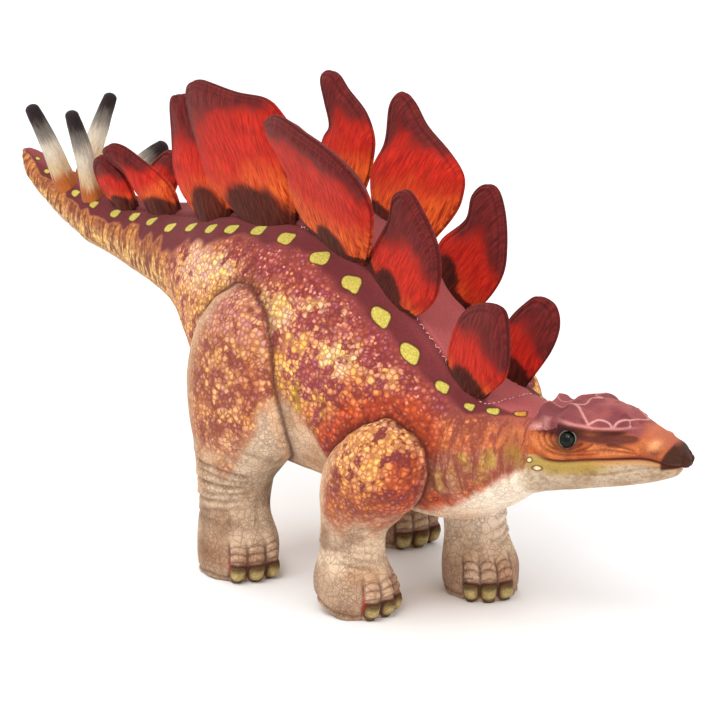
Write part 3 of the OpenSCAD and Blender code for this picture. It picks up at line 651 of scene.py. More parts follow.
def trunk_relief():
    """How far each point of the trunk stands out of the plain form."""
    relief = 0.75 * noise(P0, 26, 11) + 0.35 * noise(P0, 11, 12) * (1 - head_on) + 0.12 * noise(P0, 5, 13)
    relief *= smooth(row_shrink, 0, 1)[:, None]
    on_body = smooth(S, -120, -100) * smooth(S, 122, 112)
    pucker = 1 + 0.45 * np.sin(S * 2.1 + 1.3 * np.sin(S * 0.37))
    groove, roll = sewn(SEAM_GAP, 0.75, 0.9, 0.35, 2.2, 1.2)
    relief += (groove * pucker + roll) * on_body
    groove, roll = sewn(BELLY_GAP, 0.7, 1.0, 0.3, 2.4, 1.3)
    relief += (groove * smooth(S, -186, -170) + roll) * smooth(S, 133, 120)
    relief -= 0.6 * bell(away(S, OUT, NAPE), 0.8) * (PHI < 90)
    neck_side = smooth(PHI, 40, 62) * smooth(PHI, 150, 118)
    for at, lean, depth, width in NECK_FOLDS:
        gap = S - at - lean * (Z - 72) - 0.9 * noise(P0, 9, int(at))
        groove, roll = sewn(gap, depth, width, 0.35 * depth, 1.9 * width, width)
        relief += (groove + roll) * neck_side
    for s0, z0, s1, z1, depth in FLANK_FOLDS:
        fold = away(S, Z, [(s0, z0), ((s0 + s1) / 2 + 1.2, (z0 + z1) / 2), (s1, z1)])
        relief -= depth * bell(fold, 1.5) * (PHI > 40)
    tail_rings = np.sin((S + 1.8 * noise(P0, 8, 31)) * 2 * math.pi / 9.5)
    relief -= 0.22 * smooth(tail_rings, 0.55, 1) * smooth(S, -62, -84) * smooth(PHI, 30, 60)
    return relief + head_relief()


def head_relief():
    """Brow, eye socket, cheek, mouth, nostril, beak and crown."""
    face = PHI < 110
    ridge = np.where(over_brow > 0, bell(over_brow, 2.8), bell(over_brow, 0.75))
    brow_on = smooth(S, 134.5, 139) * smooth(S, 180, 158) * (PHI < 85)
    relief = 2.3 * ridge * brow_on
    relief -= 0.8 * bell(over_brow + 1.9, 1.1) * brow_on * smooth(S, 178, 165)
    knob = np.sqrt((S - 138.2) ** 2 + (Z - 88.4) ** 2 * 1.2)
    relief += 2.4 * bell(knob, 2.6) * (PHI < 80)
    relief += 2.5 * bell(Z - 90, 3.0) * smooth(S, 144, 149) * smooth(S, 160, 155.5) * (PHI < 80)
    # eye socket and lids
    relief -= 1.5 * bell(eye_gap, 4.4) * face
    relief += 0.6 * bell(eye_gap - 5.0, 0.8) * (Z < EYE_Z + 1) * face
    # wrinkles round the cheek
    cheek = face * smooth(mouth_gap, 0.8, 2)
    relief -= 0.6 * bell(wrinkle_gap, 0.5) * cheek
    relief += 0.35 * bell(wrinkle_gap - 1.1, 0.6) * cheek
    # mouth
    side = (PHI > 60) * (PHI < 140) * smooth(S, 136, 140)
    lips = side * smooth(S, 139, 143)
    relief -= 1.0 * bell(mouth_gap, 0.75) * side
    relief += 0.75 * bell(over_lip - 1.9, 1.2) * lips
    relief += 0.55 * bell(over_lip + 1.9, 1.2) * lips * smooth(S, 190, 182)
    relief -= 0.3 * bell(jaw_gap, 0.8) * side
    # nostril, snout ridge and beak
    relief += 1.4 * bell(np.hypot((S - NOSTRIL_S) * 0.8, Z - 81.9), 1.9) * face
    relief -= 0.8 * bell(np.hypot((S - 182) * 0.45, Z - 79.6), 0.8) * face
    relief += 0.7 * smooth(S, 184, 189) * (over_lip > -0.5) * smooth(S, 196, 192)
    relief -= 0.8 * smooth(S, 180, 188) * smooth(-over_lip, 0.2, 1.5) * (PHI > 80)
    # dents and ridges on the crown, and small wrinkles
    relief += 0.3 * noise(P0, 7, 41) * head_on * (PHI < 60)
    crown_on = (PHI < 80) * np.where(S > CROWN_BROW_S, smooth(over_brow, 0.0, 1.0), 1)
    relief += (0.7 * bell(crown_gap, 0.7) - 0.6 * bell(crown_gap - 2.6, 1.6)) * crown_on
    relief += 0.3 * noise(P0 * (0.5, 1, 1.6), 3.2, 43) * (PHI < 115) * (over_lip > 0)
    return relief * head_on


P1 = P0 + N0 * trunk_relief()[..., None]
N1 = facing(grid_normals(P1), N0)


# ---------------------------------------------------------------- trunk: paint

MAUVE, MAUVE_DEEP, PINK = tint(150, 78, 80), tint(112, 52, 56), tint(190, 108, 108)
GOLD, PALE_GOLD, PURPLE = tint(248, 198, 128), tint(253, 224, 168), tint(176, 102, 108)
ORANGE, EMBER, RUST = tint(222, 128, 76), tint(196, 84, 48), tint(132, 54, 38)
CREAM, SAND, OLIVE = tint(222, 192, 164), tint(206, 168, 134), tint(196, 168, 74)
DUSTY, STRAW = tint(150, 88, 92), tint(190, 160, 96)

# patches of the side print: along, height, reach along, reach up, colour, strength
PATCHES = [
    (66, 100, 8, 6, PALE_GOLD, 0.7), (31, 112, 10, 8, PALE_GOLD, 0.6),
    (-27, 118, 15, 9, tint(248, 206, 170), 0.9),
    (-8, 121, 9, 5, PALE_GOLD, 0.7), (52, 115, 10, 5, PALE_GOLD, 0.5), (84, 95, 7, 5, GOLD, 0.6),
    (78, 70, 25, 14, tint(212, 100, 64), 0.95), (93, 82, 12, 8, tint(196, 92, 64), 0.8),
    (62, 58, 11, 10, tint(204, 96, 64), 0.9), (48, 84, 2.4, 8, OLIVE, 0.8), (55, 69, 3, 7, OLIVE, 0.9),
    (60, 82, 3, 5, OLIVE, 0.5), (120, 78, 12, 11, tint(220, 142, 98), 0.9),
    (132, 80, 7, 7, tint(212, 134, 92), 0.9),
    (133, 74, 4, 7, tint(158, 124, 66), 0.85), (116, 88, 12, 3.5, tint(150, 88, 84), 0.7),
    (130, 86, 7, 2.5, tint(168, 98, 84), 0.6), (110, 63, 11, 8, tint(184, 136, 120), 0.9),
    (124, 70, 10, 5, tint(176, 122, 106), 0.75), (119, 69, 2.4, 3.5, tint(204, 180, 98), 0.9),
    (127, 73, 2.0, 4, tint(190, 166, 88), 0.8), (112, 63, 2.4, 3, tint(212, 188, 112), 0.9),
    (117, 63, 3, 5, STRAW, 0.7), (110, 60, 4, 4, STRAW, 0.6), (124, 66, 3, 4, OLIVE, 0.6),
    (104, 74, 6, 9, tint(176, 84, 54), 0.7), (114, 66, 12, 6, tint(186, 136, 108), 0.6),
    (101, 58, 6, 7, tint(176, 110, 86), 0.6),
]
# where more grains take the darker colour: along, height, reach along, reach up, strength
DARKER = [(74, 107, 8, 6, 0.25), (40, 104, 6, 5, 0.3), (46, 110, 7, 4, 0.25), (56, 106, 6, 4, 0.3),
          (82, 102, 9, 4, 0.35), (20, 116, 6, 5, 0.25)]
# where fewer do, with the size of the raggedness as well
PALER = [(2, 110, 30, 10, 0.25, 8), (40, 88, 16, 12, 0.12, 8), (66, 100, 9, 7, 0.35, 7),
         (31, 112, 9, 8, 0.3, 7), (-27, 118, 17, 10, 0.4, 7)]
# hanging streaks: along, height of the upper and lower end, colour, strength
HANGING = [(45, 82, 55, OLIVE, 0.8), (49, 74, 52, DUSTY, 0.7), (53, 76, 50, OLIVE, 0.7),
           (57, 66, 50, DUSTY, 0.6), (-36, 90, 76, tint(206, 140, 96), 0.5)]


def layered(colour, *layers):
    """The colour with each (colour, amount) laid over it in turn."""
    for over, amount in layers:
        colour = mix(colour, over, amount)
    return colour


def region(s, z, rs, rz, size=7.0, seed=5):
    """A soft-edged, ragged patch: 1 inside."""
    return smooth(np.hypot((S - s) / rs, (Z - z) / rz) + 0.35 * noise(P0, size, seed), 1.45, 0.55)


def side_region(s, z, rs, rz, size, seed):
    """A patch on the sides only, not over the top."""
    return region(s, z, rs, rz, size, seed) * smooth(PHI, 30, 42)


def scute_marks():
    """Signed distance to the nearest scute; one row runs down each side."""
    at_s = [131, 123, 115.5, 103, 88, 73, 57, 39, 18, -1, -17, -31, -48, -64, -81, -96, -111, -128, -144,
            -157, -169, -180]
    row_places = [-180, -169, -157, -144, -128, -111, -97, -64, -48, -30, 0, 56, 88, 103, 116, 123, 131]
    at_phi = np.interp(at_s, row_places, [16, 31, 32, 40, 45, 45, 43, 46, 40, 36, 30, 32, 34, 34, 37, 31, 24])
    size = 1.06 * np.interp(at_s, [-180, -144, -100, -48, -17, 18, 57, 88, 103, 116, 131],
                            [1.3, 2.2, 2.7, 2.9, 3.1, 3.7, 3.8, 3.5, 2.6, 1.9, 1.9])
    best = np.full(S.shape, FAR)
    rng = np.random.default_rng(3)
    ragged = 0.3 * noise(P0, 2.6, 61)
    for s0, phi, r in zip(at_s, at_phi, size):
        row = int(np.argmin(np.abs(row_s - s0)))
        a = S - s0
        b = FROM_TOP - np.interp(phi, PHI[row, : HALF + 1], half_arc[row])
        tilt = -0.45 * smooth(s0, -10, 50) - 0.1 + 0.24 * rng.random()
        along = a * math.cos(tilt) + b * math.sin(tilt)
        over = -a * math.sin(tilt) + b * math.cos(tilt)
        taper = np.clip((along + 1.5 * r) / (2.1 * r), 0.15, 1)
        wide = np.abs(over) - 0.30 * r * taper
        long = np.maximum(along - 0.14 * r + 0.12 * over, -along - 0.8 * r)
        outside = np.hypot(np.maximum(wide, 0), np.maximum(long, 0))
        inside = np.minimum(np.maximum(wide, long), 0)
        best = np.minimum(best, outside + inside - 0.6 * r + ragged)
    return best


def trunk_zones(n1, n2):
    """Print angle, end of the mauve band, and the shares of flank, cream and tail."""
    phi = PHI + 5 * n1 + 2.5 * n2
    scute_phi = np.interp(S, [-190, -157, -129, -97, -64, -30, 0, 56, 88, 116, 131, 140],
                          [14, 32, 45, 43, 46, 36, 30, 32, 34, 37, 28, 24])
    mauve_end = scute_phi + np.interp(S, [-190, -100, -60, -20, 0, 60, 90, 110, 130],
                                      [26, 27, 26, 18, 15, 13, 12, 12, 14])
    mauve_end += 9 * noise(np.stack([S, 0 * S, 0 * S], -1), 4.5, 82) * smooth(S, -30, -60)
    cream_start = np.interp(S, [-190, -130, -60, -20, 20, 40, 52, 64, 100, 110, 119, 128, 137],
                            [112, 122, 124, 112, 102, 92, 98, 122, 136, 134, 126, 108, 92])
    flank = smooth(phi, mauve_end - 12, mauve_end - 3)
    cream = smooth(phi, cream_start - 7, cream_start + 7)
    return phi, mauve_end, flank, cream, smooth(S, -44, -70)


def trunk_paint(phi, mauve_end, flank, cream, tail, n1):
    """Ground colour, second colour, and the share of grains that take the second one."""
    wide_spots = smooth(S, -10, 20) * smooth(S, 108, 90)
    thin_out = smooth(phi, mauve_end + 17 + 6 * wide_spots, mauve_end - 2)
    warm = mix(GOLD, ORANGE, 0.12 + 0.2 * smooth(n1, -0.2, 0.8))
    ground = layered(warm, (mix(ORANGE, EMBER, 0.45), smooth(S, 52, 88) * smooth(Z, 104, 88)),
                     (tint(182, 102, 96), thin_out * (1 - 0.5 * smooth(S, 10, -30))))
    alt = layered(PURPLE, (RUST, smooth(S, 48, 80) * smooth(Z, 98, 80)), (tint(164, 88, 88), thin_out),
                  (tint(136, 76, 64), tail))
    seam_strip = smooth(SEAM_GAP, 0.6, -0.8) * smooth(S, -60, -20)
    base = layered(mix(MAUVE, MAUVE_DEEP, smooth(PHI, 12, 34) * 0.75), (ground, flank),
                   (mix(MAUVE, PINK, smooth(S, 30, 80) * 0.9), seam_strip))
    for s, z, rs, rz, colour, amount in PATCHES:
        base = mix(base, colour, amount * region(s, z, rs, rz, 6, int(s * 3 + z) % 97 + 100) * flank)
    for s, upper, lower, colour, amount in HANGING:
        reach = smooth(Z, lower, lower + 6) * smooth(Z, upper + 3, upper - 3) * (PHI > 60)
        base = mix(base, colour, amount * bell(S - s - 0.8 * noise(P0, 6, int(s + 60)), 1.5) * reach)
    share = 0.33 + 0.08 * n1 + 0.15 * thin_out + 0.24 * region(53, 97, 12, 8, 6, 81)
    for s, z, rs, rz, amount in DARKER:
        share += amount * region(s, z, rs, rz, 5, int(s + z) % 89 + 200)
    for s, z, rs, rz, amount, size in PALER:
        share -= amount * region(s, z, rs, rz, size)
    tail_side = mix(tint(214, 154, 92), tint(244, 204, 136), smooth(PHI + 6 * n1, 72, 100))
    under = mix(mix(CREAM, SAND, smooth(n1, -0.2, 0.8)), tint(244, 228, 208), smooth(S, 100, 124))
    return layered(base, (tail_side, tail * flank), (under, cream)), alt, share


def head_colours(top, n1, n2):
    """Side, jaw and crown of the head, before the brow, beak and nostril."""
    side = layered(
        mix(tint(186, 104, 62), tint(216, 134, 84), smooth(n2, -0.4, 0.6)),
        (tint(214, 138, 92), smooth(S, 168, 182) * 0.6),
        (tint(230, 152, 98), 0.6 * side_region(146, 80.5, 8, 2.6, 3, 72)),
        (tint(228, 152, 102), 0.6 * side_region(166, 80.4, 8, 2.2, 3, 73)),
        (tint(140, 60, 46), 0.6 * smooth(over_lip, 2.6, 0.6) * smooth(S, 166, 176)))
    green = smooth(over_lip, 0.6, -0.6) * smooth(-over_lip, 7.5, 3.5) * smooth(S, 172, 160)
    jaw = layered(
        mix(tint(206, 186, 162), tint(188, 164, 138), smooth(n1, -0.3, 0.7)),
        (tint(176, 148, 70), green * 0.85),
        (tint(196, 146, 92), 0.8 * smooth(-over_lip, 3.4, 0.8) * smooth(S, 158, 166)),
        (tint(150, 118, 92), 0.4 * smooth(noise(P0, 1.2, 77), 0.0, 0.5) * smooth(-over_lip, 1.2, 2.8)))
    crown = layered(
        mix(tint(142, 80, 84), tint(172, 104, 102), smooth(n1 + 0.5 * n2, -0.6, 0.7)),
        (tint(232, 178, 168), 0.85 * side_region(137.8, 87.6, 4.2, 2.8, 2.2, 71)),
        (tint(110, 58, 64), 0.5 * smooth(noise(P0, 2.4, 76), 0.35, 0.8) * smooth(S, 140, 146)),
        (tint(206, 128, 88), smooth(S + 0.6 * n1, 174, 180) * smooth(over_brow, 6, 1) * 0.8),
        (tint(196, 122, 96), smooth(S, 177.5, 184) * 0.85))
    return layered(side, (jaw, smooth(over_lip, 0.4, -0.4)), (crown, top))


def head_paint(top, n1, n2):
    """Colours of the head."""
    below = 1 - top
    face = PHI < 110
    band = bell(Z - 84.4 + 0.4 * n2, 1.2 + 1.1 * bell(S - 167, 5))
    band = band * smooth(S, 146, 150) * smooth(S, 178, 173.5)
    # painted shade under the overhanging brow ridge
    painted_shade_under_brow = smooth(over_brow, -1.7, -0.2) * smooth(S, 178, 168) * smooth(S, 136, 139)
    beak_edge = 184.6 + 0.5 * np.maximum(Z - 77, 0) + 0.3 * n2
    beak_top = (S - 184) * 0.35
    beak = smooth(S, beak_edge - 0.5, beak_edge + 0.6) * smooth(Z, 73.2, 74.2)
    beak = beak * smooth(Z, 84.5 - beak_top, 82.5 - beak_top)
    skin = face * (1 - beak)
    return layered(
        head_colours(top, n1, n2),
        (tint(66, 32, 22), np.clip(bell(eye_gap, 4.7) * face * 1.5, 0, 1) * below),
        (tint(112, 62, 58), np.clip(band * below * (PHI > 25) * 1.5, 0, 0.92)),
        (tint(72, 30, 36), 0.85 * painted_shade_under_brow * below),
        (tint(84, 40, 44), 0.9 * side_region(144, 85.6, 6, 2.0, 2.5, 74) * below),
        (tint(84, 52, 38), beak),
        # painted shade round the raised nostril, strongest below and in front, and in the dent under it
        (tint(150, 72, 50), 0.75 * bell(np.hypot((S - 182) * 0.62, Z - 81.7), 3.0) * skin),
        (tint(104, 46, 38), 0.85 * bell(np.hypot((S - 182.2) * 0.45, Z - 79.9), 1.0) * skin),
        (tint(240, 176, 128), bell(np.hypot((S - NOSTRIL_S) * 0.75, Z - 82.1), 1.8) * face))


def trunk_lines(on_head, n2):
    """How strongly lines are drawn on the trunk, and their colour; the dark lines along the plate seam and
    round the legs are painted shade.
    """
    face = on_head * (PHI < 150)
    wrinkles = smooth(wrinkle_gap, 0.55, 0.1) * face * (PHI < 110) * smooth(mouth_gap, 0.5, 1.2)
    seam = smooth(np.abs(SEAM_GAP), 0.8, 0.2) * smooth(S, -60, -40) * smooth(S, 118, 112)
    ink = np.max([
        0.9 * smooth(S, 137, 145) * smooth(mouth_gap, 0.75, 0.15) * face * (PHI > 55),
        0.22 * smooth(jaw_gap, 0.8, 0.2) * face,
        wrinkles * (0.5 + 0.25 * noise(P0, 4, 45)),
        # painted shade in the groove of the plate seam
        0.5 * seam,
        # painted shade where a leg meets the trunk
        0.75 * bell(LEG_GAP, 0.9),
    ], 0)
    pale = smooth(crown_gap + 0.15 * n2, 0.5, 0.1) * (PHI < 82) * smooth(S, 134, 137)
    pale *= np.where(S > CROWN_BROW_S, smooth(over_brow, 0.0, 0.7), 1)
    # painted highlight: a pale line along the crest of the brow ridge
    brow_edge = smooth(np.abs(over_brow - 0.6), 0.65, 0.1) * smooth(S, 146, 152) * smooth(S, 178, 168)
    pale = np.maximum(pale, 0.7 * brow_edge * (PHI < 85))
    colour = mix(tint(96, 34, 24), tint(230, 176, 168), pale > ink)
    return np.clip(np.maximum(ink, 0.75 * pale), 0, 1), colour


def trunk_marks():
    """Signed distance to the scutes and to two oval spots behind the mouth, and their colour."""
    mark = scute_marks()
    dots = np.minimum(np.hypot((S - 140.5) / 1.5, Z - 71.3), np.hypot((S - 138) / 0.8, Z - 74.2)) - 1
    colour = layered(tint(204, 192, 104), (tint(206, 150, 70), smooth(S, 126, 131)),
                     (tint(238, 214, 170), smooth(Z, 80, 77) * (S > 134)))
    return np.where(dots < 2, np.minimum(mark, dots * 1.1), mark), colour


def trunk_values():
    """Everything that the printed plush reads at the points of the trunk."""
    n1, n2 = noise(P0, 9, 51), noise(P0, 4, 52)
    phi, mauve_end, flank, cream, tail = trunk_zones(n1, n2)
    base, alt, share = trunk_paint(phi, mauve_end, flank, cream, tail, n1)
    on_head = smooth(S, 133, 138)
    top = np.clip(smooth(over_brow, -0.5, 0.2) + (PHI < 45), 0, 1)
    base = mix(base, head_paint(top, n1, n2), on_head)
    alt = mix(alt, tint(150, 84, 72), smooth(S, 106, 114))
    # painted shade: the trunk's colours darken within a few mm of each leg
    painted_shade_by_leg = 0.6 * bell(LEG_GAP, 4.0)
    ink, ink_and_shade_colour = trunk_lines(on_head, n2)
    mark, mark_colour = trunk_marks()
    body = 1 - smooth(S, 120, 134)
    pebble = flank * (1 - cream) * body * (1 - 0.4 * tail)
    pebble = pebble * (1 - 0.35 * smooth(S, 52, 88) * smooth(Z, 90, 78))
    spots = smooth(phi, mauve_end - 9, mauve_end + 2) * smooth(phi, mauve_end + 21, mauve_end + 8)
    spots = spots * body * (1 - smooth(S, -58, -74)) * 0.75 * smooth(S, 110, 84)
    neck_streak = 0.85 * smooth(S, 104, 112) * smooth(S, 140, 136) * flank * (1 - cream)
    streak = neck_streak + tail * flank * smooth(PHI, 134, 112) * 0.9
    cracks = np.clip(cream * 0.95 + 0.25 * (1 - cream) * flank, 0, 1)
    cracks = cracks * (1 - top * on_head) * (1 - 0.4 * on_head) + 0.6 * on_head * (1 - top) * (over_lip > 0)
    cracks = np.where(mouth_gap < 1.2, cracks * 0.3, cracks) * (1 - 0.25 * smooth(S, 96, 112))
    return {
        "rest": P0, "flow": np.stack([S, FROM_TOP * SIDE, 0 * S], -1),
        "rgb_base": mix(base, base * 0.45, painted_shade_by_leg), "rgb_alt": mix(alt, alt * 0.5, painted_shade_by_leg),
        "rgb_ink": ink_and_shade_colour, "rgb_mark": mark_colour,
        "mottle": 0.30 * (1 - on_head) * np.clip(flank - cream, 0, 1) + 0.12 * (1 - flank),
        "alt_share": np.clip(share, 0, 1), "pebble": np.clip(pebble, 0, 1), "spots": np.clip(spots, 0, 1),
        "streak": np.clip(streak, 0, 1), "crackle": cracks, "mark": mark, "ink": ink,
    }


# ---------------------------------------------------------------- trunk: pieces

BELLY_SEAM = STRIP + SIDE_PANEL
PANELS = {"strip": (-STRIP, STRIP), "right": (STRIP, BELLY_SEAM), "left": (-BELLY_SEAM, -STRIP),
          "belly": (BELLY_SEAM, 2 * HALF - BELLY_SEAM), "upper": (-BELLY_SEAM, BELLY_SEAM)}
# piece, section counted from the tail tip, panel, slot, the CAD parts it stands for
SKINS = [
    ("tail_tip_top", 0, "upper", "tail_fabric", ("tail_tip_upper", "tail_tip_filling")),
    ("tail_tip_bottom", 0, "belly", "underside_fabric", ("tail_tip_under",)),
    ("tail_base_top", 1, "upper", "tail_fabric", ("tail_base_upper", "tail_base_filling")),
    ("tail_base_bottom", 1, "belly", "underside_fabric", ("tail_base_under",)),
    ("torso_strip", 2, "strip", "back_fabric", ("back_panel", "torso_filling")),
    ("torso_right", 2, "right", "side_fabric", ("side_panel_right",)),
    ("torso_left", 2, "left", "side_fabric", ("side_panel_left",)),
    ("torso_belly", 2, "belly", "underside_fabric", ("belly_panel",)),
    ("head_crown", 3, "strip", "back_fabric", ("head_top_panel", "head_filling")),
    ("head_right", 3, "right", "side_fabric", ("head_side_right",)),
    ("head_left", 3, "left", "side_fabric", ("head_side_left",)),
    ("head_throat", 3, "belly", "underside_fabric", ("throat_panel",)),
]
# for each section: near body, far body, hinge, and where the bend starts and ends as offsets from the hinge
NECK_BEND = ("torso", "head", "neck_turn", (-10, 0, 0), (13, 0, 0))
BENDS = [("tail_base", "tail_tip", "tail_tip_swing", (9, 0, 0), (-10, 0, 0)),
         ("torso", "tail_base", "tail_base_swing", (10, 0, 0), (-15, 0, 0)), None, NECK_BEND]


def bend(piece, near, far, hinge, start, end):
    """Bakes the piece's placement into its points."""
    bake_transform(piece)


def part_of(values, index):
    """The part of each stored grid that a piece covers, with one entry for each point."""
    return {key: v[index].reshape(-1, 3) if v.ndim == 3 else v[index].ravel() for key, v in values.items()}


def cut_trunk(values):
    """The whole skin as one grid, cut along its seams and between the moving parts."""
    cuts = [0, *(int(np.argmin(np.abs(row_s - s))) for s in (TIP_CUT, TAIL_CUT, HEAD_CUT)), len(row_s) - 1]
    for name, section, panel, slot_name, hides in SKINS:
        first, last = PANELS[panel]
        columns = np.arange(first, last + 1) % (2 * HALF)
        rings = np.arange(cuts[section], cuts[section + 1] + 1)
        index = np.ix_(rings, columns)
        across = BENDS[section]
        faces = np.roll(grid_faces(len(rings), len(columns)), -1, axis=1)
        piece = add_mesh(name, P1[index].reshape(-1, 3), faces, HIDE, None if across else "torso",
                         hides, part_of(values, index), N1[index].reshape(-1, 3))
        if across:
            bend(piece, *across)


# ---------------------------------------------------------------- legs

# z, x, y outward, reach to the rear, reach to the front, half width
FRONT_LEG = [
    [0, 66, 33, 13, 13.5, 12.5], [4, 66, 33, 15.2, 15, 14], [12, 67, 33, 15.8, 15, 14.3],
    [22, 66, 33, 12.6, 13.2, 12.2], [32, 67, 33.5, 11.8, 13.4, 12.2], [41, 72, 34, 15, 18, 13.8],
    [50, 78, 35, 20, 22.5, 15.6], [58, 82.5, 35.5, 22.5, 23.5, 16.4], [66, 86, 35, 21.5, 22, 15.8],
    [73, 88.5, 33.8, 17, 17.5, 13.8], [78, 89.5, 32.4, 10.5, 11, 10.5], [80.5, 90, 31.6, 4, 4, 6.5],
]
HIND_LEG = [
    [0, 2, 38, 15, 14.5, 13.5], [4, 3, 38, 17.3, 16, 15.2], [14, 3, 38, 17.6, 16.5, 15.3],
    [26, 1, 38, 14.5, 14, 14], [38, 1, 38, 14.5, 15.5, 14.3], [48, 2, 38, 16, 24, 15.6],
    [58, 3, 38, 18.5, 34, 17], [72, 4, 38, 22.5, 37, 18], [86, 6, 37, 25, 34, 18.5],
    [101, 8, 35.5, 23.5, 28, 17.5], [111, 9, 34, 18, 20, 14], [118, 10, 32, 10, 12, 9],
    [120.5, 10, 31.5, 4, 5, 5],
]
# folds across the leg: height, angle, half spread, depth, slope
HIND_FOLDS = [(46, 70, 80, 0.8, 1.5), (42.5, 60, 75, 0.7, 0.8), (39, 75, 80, 0.9, 0.4),
              (35.5, 55, 70, 0.7, -0.6), (32, 80, 70, 0.8, -0.4), (28.5, 60, 60, 0.5, -0.8),
              (54, 30, 40, 0.7, 3), (24, 90, 60, 0.35, 0.5)]
FRONT_FOLDS = [(21.5, 35, 50, 0.8, 0.9), (24.2, 30, 58, 0.8, 1.2), (27.2, 45, 60, 0.6, 0.6),
               (30.5, 25, 40, 0.5, 0.9), (37, 20, 40, 0.5, 1.2), (26, 120, 50, 0.4, -0.5)]
FAR_FRONT = 320
# kind, side, foot forward and outward, turn of the toes, shoulder forward, stretch above the knee, heel, seed
LEGS = [("front", "right", (1.5, 0), -14, 0, 1.0, 6, 300),
        ("front", "left", (16, -13.5), -30, -14, 1.29, 0, FAR_FRONT),
        ("hind", "right", (0, 0), 14, 0, 1.0, 0, 340), ("hind", "left", (8, -2), 0, 0, 1.0, 0, 360)]
# keeps the leg print from lining up with the trunk's
PRINT_OFFSET = (0, 0, 200)
LEG_COLUMNS = 176
LEG_ROUND = 0.93
KNEE_Z = 41
FLOOR_CLEARANCE = 0.05
TOE_TURN = 27.0
TOES, NOTCHES = (-1, 0, 1), (-1.5, -0.5, 0.5, 1.5)
KNUCKLES = (9.6, 12.6, 15.4, 18.0)
FOOT_RADIUS = 17.5
NAIL_Z, NAIL_HALF_WIDTH, NAIL_HALF_HEIGHT, NAIL_BLUNT = 4.9, 3.75, 3.2, 3.6
DEGREES = 180 / math.pi


def leg_rings(table, rise):
    """Table row, height and shrink of each ring of a leg; the last rings close its top."""
    top = table[-1][0]
    z = np.concatenate([np.arange(0.9, 50, 0.55), np.arange(50, top, 1.0), [top]])
    rings = hermite(table, np.interp(z, [row[0] for row in table], np.arange(len(table))))
    z = z + (rise - 1) * np.maximum(z - KNEE_Z, 0)
    cap = np.radians([25, 48, 68, 82, 90])
    shrink = np.concatenate([[0.96], np.ones(len(z) - 1), np.cos(cap)])
    rings = np.concatenate([rings, np.repeat(rings[-1:], len(cap), 0)])
    return rings, np.concatenate([z, z[-1] + 1.6 * np.sin(cap)])[:, None], shrink[:, None]


def leg_points(table, side, foot_shift, shoulder, rise, heel):
    """Plain points of a leg with the angle, height and shrink of each. Angle 0 is forward, 90 outward."""
    rings, height, shrink = leg_rings(table, rise)
    _, centre_x, centre_out, to_rear, to_front, half_width = (rings[:, k:k + 1] for k in range(6))
    angle = np.arange(LEG_COLUMNS)[None, :] * 360.0 / LEG_COLUMNS
    c, k = np.cos(np.radians(angle)), np.sin(np.radians(angle))
    low = 1 - smooth(height / 80)
    x = centre_x + np.where(c > 0, to_front, to_rear) * shrink * np.sign(c) * np.abs(c) ** LEG_ROUND
    x = x + foot_shift[0] * low + shoulder * (1 - low) + X_SHIFT
    out = centre_out + half_width * shrink * np.sign(k) * np.abs(k) ** LEG_ROUND + foot_shift[1] * low
    angle, height = angle * np.ones_like(x), height * np.ones_like(x)
    lift = heel * smooth(np.abs(degrees_from(angle, 150)), 95, 15) * (1 - smooth(height, 0, 34))
    return np.stack([x, side * out, height + lift], -1), angle, height, shrink


def toe_marks(turned, height):
    """Distance to the nearest knuckle fold, and signed distance to the nearest nail."""
    knuckle = np.full(height.shape, FAR)
    nail = np.full(height.shape, FAR)
    for number, toe in enumerate(TOES):
        a = turned - TOE_TURN * toe
        for level in KNUCKLES:
            gap = np.abs(height - level + 0.9 * (a / 11) ** 2 + 0.3 * math.sin(3.1 * number + level))
            gap += 0.25 * max(0, level - 15)
            knuckle = np.where(np.abs(a) < 12.5, np.minimum(knuckle, gap), knuckle)
        across = np.abs(a / DEGREES * FOOT_RADIUS / NAIL_HALF_WIDTH)
        upward = np.abs((height - NAIL_Z) / NAIL_HALF_HEIGHT)
        blunt = (across**NAIL_BLUNT + upward**NAIL_BLUNT) ** (1 / NAIL_BLUNT)
        nail = np.minimum(nail, (blunt - 1) * 3.1)
    return knuckle, nail


